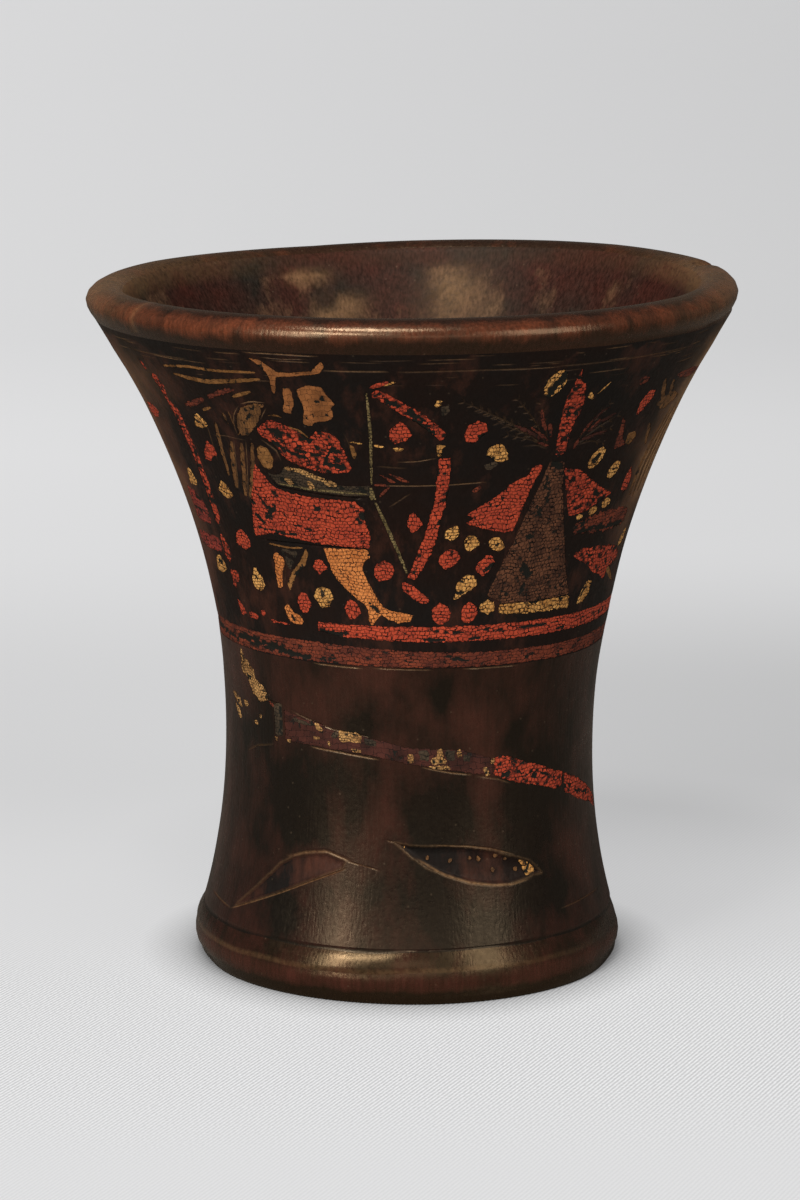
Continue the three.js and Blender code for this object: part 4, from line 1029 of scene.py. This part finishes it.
for start, outline, end, upward in ((WALL_TOP, lip + hollow_wall + hollow_floor, FLOOR_LEVEL, True),
                                    (WALL_BASE, foot, 0.0, False)):
    rings = [(float(wall_radius(start)), start)] + outline
    for k, (r, h) in enumerate(rings):
        around = np.full(AROUND, r)
        tall = np.full(AROUND, float(h))
        pale_mark_and_painted_sheen = np.zeros(AROUND)
        # The lip has lost a chip at the right and has a scar at the left.
        if upward and 2 <= k <= 9:
            around -= 1.3 * chip * (k >= 4) + 0.35 * scar
            tall -= 1.7 * chip * (k >= 5)
            pale_mark_and_painted_sheen += 0.25 * scar
        # The roll of the foot wanders, and its bottom edge is worn out of round.
        if not upward and 2 <= k <= 10:
            tall += wave
            around += 0.12 * np.sin(np.radians(5 * spokes + 31 * k))
        if not upward and 14 <= k <= 17:
            around += 0.5 * np.cos(np.radians(spokes)) + 0.4 * np.sin(np.radians(2 * spokes))
            around -= 0.9 * np.exp(-((np.abs(spokes) - 74) / 14) ** 2)
        # A painted highlight along the foot's ridge, strongest towards the front left.
        if not upward and k in (8, 9):
            pale_mark_and_painted_sheen += 0.15 * np.clip(np.cos(np.radians(spokes + 20)) * 1.3, 0, 1)
        verts.append(shaped(spokes, around, tall))
        bearings.append(spokes)
        heights.append(tall)
        tinges.append(pale_mark_and_painted_sheen)
    verts.append(shaped(np.zeros(1), np.zeros(1), np.full(1, end)))
    bearings.append(np.zeros(1))
    heights.append(np.full(1, end))
    tinges.append(np.zeros(1))
    for k in range(len(rings)):
        for i in range(AROUND):
            a = count + k * AROUND + i
            b = count + k * AROUND + (i + 1) % AROUND
            last = (a, b, count + len(rings) * AROUND)
            face = (a, b, b + AROUND, a + AROUND) if k + 1 < len(rings) else last
            polygons.append(face if upward else face[::-1])
            finish_of.append((HOLLOW if k > 10 else LIP) if upward else (FOOT if k > 2 else SMOKED))
    count += len(rings) * AROUND + 1
verts, bearings, heights = np.vstack(verts), np.concatenate(bearings), np.concatenate(heights)
tinges = np.concatenate(tinges)
# The edges of stains wander in the same way on every run.
STAIN_SEED = 7
noise.seed_set(STAIN_SEED)
crooked = np.array([noise.noise_vector(Vector(v) * 70) + 0.5 * noise.noise_vector(Vector(v) * 190)
                    for v in verts])


# Soft stains and pale patches with crooked edges. Each has a bearing, a height, its reach along both and its
# strength; a stain of negative strength is a patch where the film has worn off, and on the flanks and in the
# hollow such patches also stand for painted sheen.
def blots(spots, drift=1.0):
    total = np.zeros(len(verts))
    for at, up, wide, tall, amount in spots:
        turn = (bearings - at + 180 + 8 * drift * crooked[:, 0]) % 360 - 180
        rise = heights - up + 7 * drift * crooked[:, 1]
        total += amount * np.exp(-(turn / wide) ** 2 - (rise / tall) ** 2)
    return total


# Smoke stains on the wall; the large negative ones on the left and right flanks also stand for a painted
# sheen there.
wall_stain_and_painted_sheen = blots([
    (-40, 50, 11, 10, 1), (-32, 44, 5, 6, 0.6), (9, 49, 8, 8, 1), (37, 45, 8, 11, 1.1),
    (33.5, 69, 3, 5, 0.8), (11, 80, 3.5, 6, 0.7), (-2, 80, 2.5, 3, 0.7), (-14, 72, 9, 3, 0.7),
    (-55, 66, 12, 8, 0.5), (4, 24, 8, 10, 0.8), (-36, 22, 8, 6, 0.6), (44, 28, 8, 9, 0.7),
    (0, 45, 40, 16, 0.25), (58, 60, 16, 18, 0.3), (-62, 30, 12, 14, 0.2), (22, 20, 13, 8, 0.7),
    (120, 50, 12, 14, 0.9), (165, 40, 10, 12, 0.8), (205, 62, 14, 10, 0.8), (245, 44, 10, 14, 0.9),
    (23, 50, 5, 12, -0.5), (-9, 43, 5, 9, -0.5), (-24, 42, 5, 6, -0.5), (-8, 83, 9, 4, -0.6),
    (20, 74, 8, 8, -0.5), (-26, 79, 12, 8, -0.3), (-57, 33, 7, 5, -0.5), (60, 30, 9, 9, -0.3),
    (3, 76, 6, 6, -0.4), (140, 44, 8, 14, -0.5), (-80, 130, 14, 50, -1.2), (78, 138, 11, 26, -1.2),
    (280, 130, 14, 50, -0.2), (185, 50, 9, 12, -0.5), (225, 74, 14, 9, -0.5), (-25, 33, 6, 3, -0.5)], 0.8)
wall_stain_and_painted_sheen[:len(where)] -= 0.45 * np.clip(-where[:, 2] / 0.4, 0, 1) * (where[:, 1] < 43)
HOLLOW_EDGE = 73.2
from_axis = np.hypot(verts[:, 0], verts[:, 1]) * MM_IN_METRE
# Drink stains in the hollow; its negative ones lighten tan patches on the back wall that are partly painted
# highlight.
hollow_stain_and_painted_highlight = blots([
    (203, 172.3, 6, 2.4, -1.0), (197, 164, 9, 2.6, -0.6), (170, 166, 8, 9, -0.3), (128, 168.6, 2, 2, -0.3),
    (161, 164, 3, 5, -0.4), (203, 168.6, 7, 1.2, 0.9), (226, 170, 8, 4, 1.0), (240, 172, 5, 4, 1.0),
    (185, 169, 5, 6, 0.5), (155, 168, 4, 8, 0.7), (136, 167, 9, 6, 0.5), (112, 170, 9, 6, 0.6),
    (266, 175, 16, 4, -0.6), (180, 177, 90, 2.5, 0.7), (40, 120, 60, 30, -0.4),
    (250, 90, 50, 30, -0.3)], 0.7)
ticks = blots([(b, 177, 0.6, 3.5, 0.5) for b in (-47, -36, -30, -26.5, -15, 24, 39, 120, 160, 200, 250)], 0.1)
ticks += blots([
    (-36, 176, 14, 2.6, -0.6), (52, 177, 24, 5, 0.25), (150, 178, 40, 5, 0.25), (210, 178, 40, 5, 0.25)])
turned_in = np.clip((82.5 - from_axis) / 4, 0, 0.5)
crown = np.clip((heights - 178.3) / 1.2, 0, 1) * blots([(0, 179, 62, 9, 0.5)], 0.2)
# Painted shade: the outer lip darkens towards its underside; the ticks, the turned-in side and the crown
# darken it further.
lip_tone_and_painted_shade = np.clip((176.6 - heights) / 4.0, 0, 1.2) * (from_axis > 80) + ticks + turned_in + crown
# Painted shade darkens the foot towards its bottom edge, where it turns under; above the ridge it takes a
# darker tone of its own.
foot_tone_and_painted_shade = 1.5 * np.clip((4.2 - heights) / 3, 0, 1) + 0.5 * np.clip((heights - 6.5) / 2, 0, 1)
outside = from_axis > wall_radius(heights) - 5
stain_and_painted_light = np.where(heights < WALL_BASE - 0.6, foot_tone_and_painted_shade, wall_stain_and_painted_sheen)
stain_and_painted_light = np.where(heights > WALL_TOP - 0.1, lip_tone_and_painted_shade, stain_and_painted_light)
stain_and_painted_light = np.where(outside | (from_axis > HOLLOW_EDGE), stain_and_painted_light, hollow_stain_and_painted_highlight)
# Pale patches on both flanks: partly worn film and partly painted sheen.
flank_wear_and_painted_sheen = blots([
    (77, 146, 8, 17, 0.9), (71, 136, 7, 13, 0.9), (79, 160, 8, 8, 0.6), (-80, 140, 9, 24, 0.4),
    (-74, 159, 12, 8, 0.3)], 0.8)
# Pale patches on the lip's top at the left and right ends: partly wear and partly painted sheen.
lip_wear_and_painted_sheen = blots([
    (-88, 178, 22, 5, 0.48), (-124, 178, 20, 5, 0.15), (92, 178, 26, 5, 0.36), (72, 175, 20, 4, 0.12)], 0.3)
lip_wear_and_painted_sheen += 0.06 * turned_in
# Tan patches on the back of the hollow, partly painted highlight.
hollow_patches_and_painted_highlight = blots([
    (203, 172.4, 5, 1.8, 0.5), (128, 168.6, 1.5, 1.5, 0.15), (169.5, 166, 6.5, 8, 0.34),
    (197, 163.4, 7, 2.6, 0.3)], 0.4)
on_lip = (heights > WALL_TOP) & (from_axis > HOLLOW_EDGE)
pale_wear_and_painted_sheen = np.where(on_lip, lip_wear_and_painted_sheen, np.where(outside & (heights > 100), flank_wear_and_painted_sheen, 0))
pale_wear_and_painted_sheen = np.where(outside | on_lip, pale_wear_and_painted_sheen, hollow_patches_and_painted_highlight)
tinges = np.maximum(tinges, pale_wear_and_painted_sheen)


# Handling polishes wood and darkens it, so the lip and the foot are red-brown with a warm sheen, and drink
# leaves the hollow dull and blotched. Smoke and wax give the wall a thin dark film, so bare red-brown and
# black lie side by side under a broken sheen. Wear leaves the picture ground black-brown and nearly dull.
def old_wood(name, bare, smoked, cold, clouds, balance, rough, sheen, streaks, grain, glint):
    material = bpy.data.materials.new(name)
    tree = blank_tree(material)
    spot = add(tree, "ShaderNodeTexCoord").outputs["Object"]
    upright = add(tree, "ShaderNodeMapping", {"Vector": spot, "Scale": (100.0, 100.0, 45.0)})
    cloud = add(tree, "ShaderNodeTexNoise", {
        "Vector": upright, "Scale": 1.0, "Detail": 7.0, "Roughness": 0.68})
    fibre_place = add(tree, "ShaderNodeMapping", {"Vector": spot, "Scale": (1500.0, 1500.0, 50.0)})
    fibre = add(tree, "ShaderNodeTexNoise", {"Vector": fibre_place, "Scale": 1.0, "Detail": 3.0})
    fine = add(tree, "ShaderNodeTexNoise", {"Vector": spot, "Scale": 900.0, "Detail": 3.0})
    # The stain value darkens the film; it also carries painted shade under the lip and at the foot's bottom,
    # and painted sheen where it is negative on the flanks and in the hollow.
    stain_and_painted_light_level = add(tree, "ShaderNodeAttribute", attribute_name="stain_and_painted_light").outputs["Fac"]
    film = add(tree, "ShaderNodeMath", {0: cloud.outputs["Fac"], 1: clouds, 2: balance - clouds / 2},
               operation="MULTIPLY_ADD")
    film = add(tree, "ShaderNodeMath", {0: stain_and_painted_light_level, 1: 0.9, 2: film},
               operation="MULTIPLY_ADD", use_clamp=True)
    wide = add(tree, "ShaderNodeTexNoise", {"Vector": spot, "Scale": 42.0, "Detail": 4.0, "Roughness": 0.6})
    wide = add(tree, "ShaderNodeMapRange", {
        "Value": wide.outputs["Fac"], "From Min": 0.36, "From Max": 0.66})
    dark = add(tree, "ShaderNodeMix", {"Factor": wide, "A": linear(smoked), "B": linear(cold)},
               data_type="RGBA")
    colour = add(tree, "ShaderNodeMix", {"Factor": film, "A": linear(bare), "B": dark.outputs["Result"]},
                 data_type="RGBA")
    pits = add(tree, "ShaderNodeTexVoronoi", {"Vector": spot, "Scale": 260.0})
    pits = add(tree, "ShaderNodeMapRange", {
        "Value": pits.outputs["Distance"], "From Min": 0.05, "From Max": 0.09, "To Min": 0.16,
        "To Max": 0.0})
    colour = add(tree, "ShaderNodeMix", {
        "Factor": pits, "A": colour.outputs["Result"], "B": linear("6e5c48")}, data_type="RGBA")
    streak = add(tree, "ShaderNodeMapRange", {
        "Value": fibre.outputs["Fac"], "From Min": 0.3, "From Max": 0.7, "To Min": 1 - streaks,
        "To Max": 1 + streaks})
    colour = add(tree, "ShaderNodeVectorMath", {0: colour.outputs["Result"], "Scale": streak},
                 operation="SCALE")
    # The tinge holds pale marks (old resin in cut lines, the scar, worn patches) and also painted sheen and
    # highlights on the lip's ends, the flanks, the hollow, the foot's ridge and the pockets' rims.
    pale_mark_and_painted_sheen = add(tree, "ShaderNodeAttribute", attribute_name="tinge").outputs["Fac"]
    broken = add(tree, "ShaderNodeMapRange", {
        "Value": fine.outputs["Fac"], "From Min": 0.3, "From Max": 0.6, "To Min": 0.4, "To Max": 1.0})
    pale_mark_and_painted_sheen = add(tree, "ShaderNodeMath", {0: pale_mark_and_painted_sheen, 1: broken}, operation="MULTIPLY")
    colour = add(tree, "ShaderNodeMix", {"Factor": pale_mark_and_painted_sheen, "A": colour, "B": linear("8e6a46")},
                 data_type="RGBA")
    gloss = add(tree, "ShaderNodeMath", {0: fine.outputs["Fac"], 1: cloud.outputs["Fac"]}, operation="ADD")
    gloss = add(tree, "ShaderNodeMapRange", {
        "Value": gloss, "From Min": 0.7, "From Max": 1.3, "To Min": rough - 0.06, "To Max": rough + 0.1})
    grit = add(tree, "ShaderNodeMath", {0: fibre.outputs["Fac"], 1: fine.outputs["Fac"]}, operation="ADD")
    relief = add(tree, "ShaderNodeBump", {"Strength": grain, "Distance": 0.0001, "Height": grit})
    surface = add(tree, "ShaderNodeBsdfPrincipled", {
        "Base Color": colour.outputs["Result"], "Roughness": gloss, "Specular IOR Level": sheen,
        "Specular Tint": linear(glint), "Normal": relief})
    add(tree, "ShaderNodeOutputMaterial", {"Surface": surface})
    return material


woods = [old_wood(*each) for each in (
    ("hand_polished_lip_wood", "582b1a", "220f0b", "180d0b", 2.6, 0.38, 0.25, 0.76, 0.4, 0.45, "ffd8ac"),
    ("drink_stained_hollow_wood", "6b4e37", "361b15", "211d18", 2.4, 0.98, 0.45, 0.1, 0.5, 0.4, "ffe6cc"),
    ("smoked_waxed_wall_wood", "381d17", "0d0909", "0a0a0a", 2.2, 0.6, 0.3, 0.44, 0.12, 0.6, "ffdcb0"),
    ("dulled_picture_ground_wood", "4c2a1e", "1a100d", "141211", 2.8, 1.06, 0.46, 0.16, 0.15, 0.45, "ffe6d0"),
    ("hand_polished_foot_wood", "3d1c17", "0d0706", "0a0707", 2.2, 0.4, 0.25, 0.76, 0.25, 0.4, "ffd49e"),
)]
beaker = finished("beaker_wood", verts, polygons, woods, ["wood_body"],
                  {"tinge": tinges, "stain_and_painted_light": stain_and_painted_light})
beaker.data.polygons.foreach_set("material_index", finish_of)

# Floor and backdrop
# A sheet of pale grey cotton twill laid flat and swept up behind. Its weave is clearest round the foot. To
# the camera it looks paler than the light it throws, and on that glow are painted a contact shadow where the
# foot meets it, a soft shadow behind the beaker and a fall of light: paler at the left and further back,
# dimmer high up.
BEND_START = 1.2
BEND_RADIUS = 0.7
line = [(-2.6, 0.0), (-1.0, 0.0), (0.6, 0.0), (BEND_START, 0.0)]
line += [(BEND_START + BEND_RADIUS * math.sin(a), BEND_RADIUS - BEND_RADIUS * math.cos(a))
         for a in np.linspace(0.1, math.pi / 2, 16)]
line.append((1.9, 3.2))
mesh = bpy.data.meshes.new("twill_sweep")
mesh.from_pydata([(x, y, z) for y, z in line for x in (-3.0, 3.0)], [],
                 [(2 * i, 2 * i + 1, 2 * i + 3, 2 * i + 2) for i in range(len(line) - 1)])
mesh.polygons.foreach_set("use_smooth", [True] * len(mesh.polygons))
sweep = bpy.data.objects.new("twill_sweep", mesh)
bpy.context.scene.collection.objects.link(sweep)
twill = bpy.data.materials.new("pale_grey_cotton_twill")
tree = blank_tree(twill)
spot = add(tree, "ShaderNodeTexCoord")
turned = add(tree, "ShaderNodeMapping", {
    "Vector": spot.outputs["Object"], "Rotation": (0, 0, math.radians(24)),
    "Scale": (1000.0, 1000.0, 1000.0)})
axes = add(tree, "ShaderNodeSeparateXYZ", {0: spot.outputs["Object"]})
far = axes.outputs["Y"]
before = add(tree, "ShaderNodeMapRange", {
    "Value": far, "From Min": -0.18, "From Max": -0.12, "To Min": 0.2, "To Max": 1.0})
behind = add(tree, "ShaderNodeMapRange", {
    "Value": far, "From Min": -0.045, "From Max": 0.02, "To Min": 1.0, "To Max": 0.1})
clear = add(tree, "ShaderNodeMath", {0: before, 1: behind}, operation="MULTIPLY")
rib = add(tree, "ShaderNodeTexWave", {
    "Vector": turned, "Scale": 0.3, "Distortion": 0.8, "Detail": 2.0, "Detail Scale": 2.0})
knots = add(tree, "ShaderNodeTexNoise", {"Vector": turned, "Scale": 1.3, "Detail": 1.0})
rib = add(tree, "ShaderNodeMath", {0: rib.outputs["Fac"], 1: knots.outputs["Fac"]}, operation="ADD")
rib = add(tree, "ShaderNodeMath", {0: rib, 1: 1.0}, operation="SUBTRACT")
rib = add(tree, "ShaderNodeMath", {0: rib, 1: clear}, operation="MULTIPLY")
rib = add(tree, "ShaderNodeMath", {0: rib, 1: 0.4, 2: 1.0}, operation="MULTIPLY_ADD")
ray = add(tree, "ShaderNodeLightPath")
dyed = add(tree, "ShaderNodeMix", {
    "Factor": ray.outputs["Is Camera Ray"], "A": (0.36, 0.36, 0.36, 1.0),
    "B": (0.18, 0.18, 0.18, 1.0)}, data_type="RGBA")
dyed = add(tree, "ShaderNodeMix", {
    "Factor": ray.outputs["Is Glossy Ray"], "A": dyed.outputs["Result"],
    "B": (0.17, 0.15, 0.125, 1.0)}, data_type="RGBA")
shade = add(tree, "ShaderNodeVectorMath", {0: dyed.outputs["Result"], "Scale": rib}, operation="SCALE")
cloth = add(tree, "ShaderNodeBsdfDiffuse", {"Color": shade})
# Painted fall of light on the cloth: paler further back and at the left, dimmer high on the sweep.
pale = add(tree, "ShaderNodeMapRange", {
    "Value": far, "From Min": 0.0, "From Max": 0.8, "To Min": 0.515, "To Max": 0.6})
dimmer = add(tree, "ShaderNodeMapRange", {
    "Value": far, "From Min": 0.9, "From Max": 1.6, "To Min": 0.0, "To Max": 0.06})
pale = add(tree, "ShaderNodeMath", {0: pale, 1: dimmer}, operation="SUBTRACT")
slope = add(tree, "ShaderNodeMapRange", {
    "Value": far, "From Min": 0.0, "From Max": 0.8, "To Min": 0.0, "To Max": -0.15})
pale = add(tree, "ShaderNodeMath", {0: axes.outputs["X"], 1: slope, 2: pale}, operation="MULTIPLY_ADD")
nearer = add(tree, "ShaderNodeMapRange", {"Value": far, "From Min": 0.05, "From Max": 0.2},
             interpolation_type="SMOOTHSTEP")
# Painted soft shadow of the beaker on the cloth behind it, deeper at the right.
farther = add(tree, "ShaderNodeMapRange", {
    "Value": far, "From Min": 0.3, "From Max": 0.58, "To Min": 1.0,
    "To Max": 0.0}, interpolation_type="SMOOTHSTEP")
shaded = add(tree, "ShaderNodeMath", {0: nearer, 1: farther}, operation="MULTIPLY")
depth_of_shade = add(tree, "ShaderNodeMapRange", {
    "Value": axes.outputs["X"], "From Min": -0.06, "From Max": 0.06, "To Min": -0.06, "To Max": -0.13})
pale = add(tree, "ShaderNodeMath", {0: shaded, 1: depth_of_shade, 2: pale}, operation="MULTIPLY_ADD")
# Painted contact shadow where the foot meets the cloth.
painted_contact_shadow = add(tree, "ShaderNodeAmbientOcclusion", {"Distance": 0.016}, samples=8)
painted_contact_shadow = add(tree, "ShaderNodeMapRange", {
    "Value": painted_contact_shadow.outputs["AO"], "From Min": 0.4, "To Min": 0.2, "To Max": 1.0})
pale = add(tree, "ShaderNodeMath", {0: painted_contact_shadow, 1: pale}, operation="MULTIPLY")
pale = add(tree, "ShaderNodeMath", {0: ray.outputs["Is Camera Ray"], 1: pale}, operation="MULTIPLY")
pale = add(tree, "ShaderNodeMath", {0: pale, 1: rib}, operation="MULTIPLY")
glow = add(tree, "ShaderNodeEmission", {"Color": linear("fefeff"), "Strength": pale})
both = add(tree, "ShaderNodeAddShader", {0: cloth, 1: glow})
add(tree, "ShaderNodeOutputMaterial", {"Surface": both})
mesh.materials.append(twill)


# Light and camera
# Tall soft boxes in front at the left and right, small ones overhead and high at the front left, a weak
# wide one behind the camera, and a pale room, dimmer and warmer when mirrored. A long lens looks down.
def soft_box(name, place, aim, wide, high, watts):
    lamp = bpy.data.lights.new(name, "AREA")
    lamp.shape = "RECTANGLE"
    lamp.size = wide
    lamp.size_y = high
    lamp.energy = watts
    light = bpy.data.objects.new(name, lamp)
    light.location = place
    light.rotation_euler = (Vector(aim) - Vector(place)).to_track_quat("-Z", "Y").to_euler()
    bpy.context.scene.collection.objects.link(light)


soft_box("overhead_box", (-0.3, -0.6, 1.5), (0, 0, 0.1), 0.56, 0.26, 13.2)
soft_box("left_box", (-1.09, -1.3, 0.75), (0, 0, 0.1), 0.4, 1.2, 13.4)
soft_box("right_box", (1.2, -1.2, 0.75), (0, 0, 0.1), 0.8, 1.2, 10.3)
soft_box("front_box", (-0.7, -1.38, 1.05), (0, 0, 0.1), 0.6, 0.25, 9.6)
soft_box("fill_box", (0.05, -1.9, 0.48), (0, 0, 0.05), 1.2, 0.45, 1.6)
world = bpy.data.worlds.new("pale_room")
tree = blank_tree(world)
ray = add(tree, "ShaderNodeLightPath").outputs["Is Glossy Ray"]
level = add(tree, "ShaderNodeMapRange", {"Value": ray, "To Min": 0.315, "To Max": 0.15})
walls = add(tree, "ShaderNodeMix", {"Factor": ray, "A": linear("e8e9eb"), "B": linear("ece2d4")},
            data_type="RGBA")
room = add(tree, "ShaderNodeBackground", {"Color": walls.outputs["Result"], "Strength": level})
add(tree, "ShaderNodeOutputWorld", {"Surface": room})
bpy.context.scene.world = world
bpy.context.scene.view_settings.view_transform = "Standard"

DOWNWARD_TILT = 11.4886
lens = bpy.data.cameras.new("camera")
lens.sensor_fit = "VERTICAL"
lens.sensor_height = 36.0
lens.lens = 121.03
lens.clip_end = 20.0
camera = bpy.data.objects.new("camera", lens)
camera.location = (-0.00299, -1.0486, 0.3075)
camera.rotation_euler = (math.radians(90 - DOWNWARD_TILT), 0, 0)
bpy.context.scene.collection.objects.link(camera)
bpy.context.scene.camera = camera
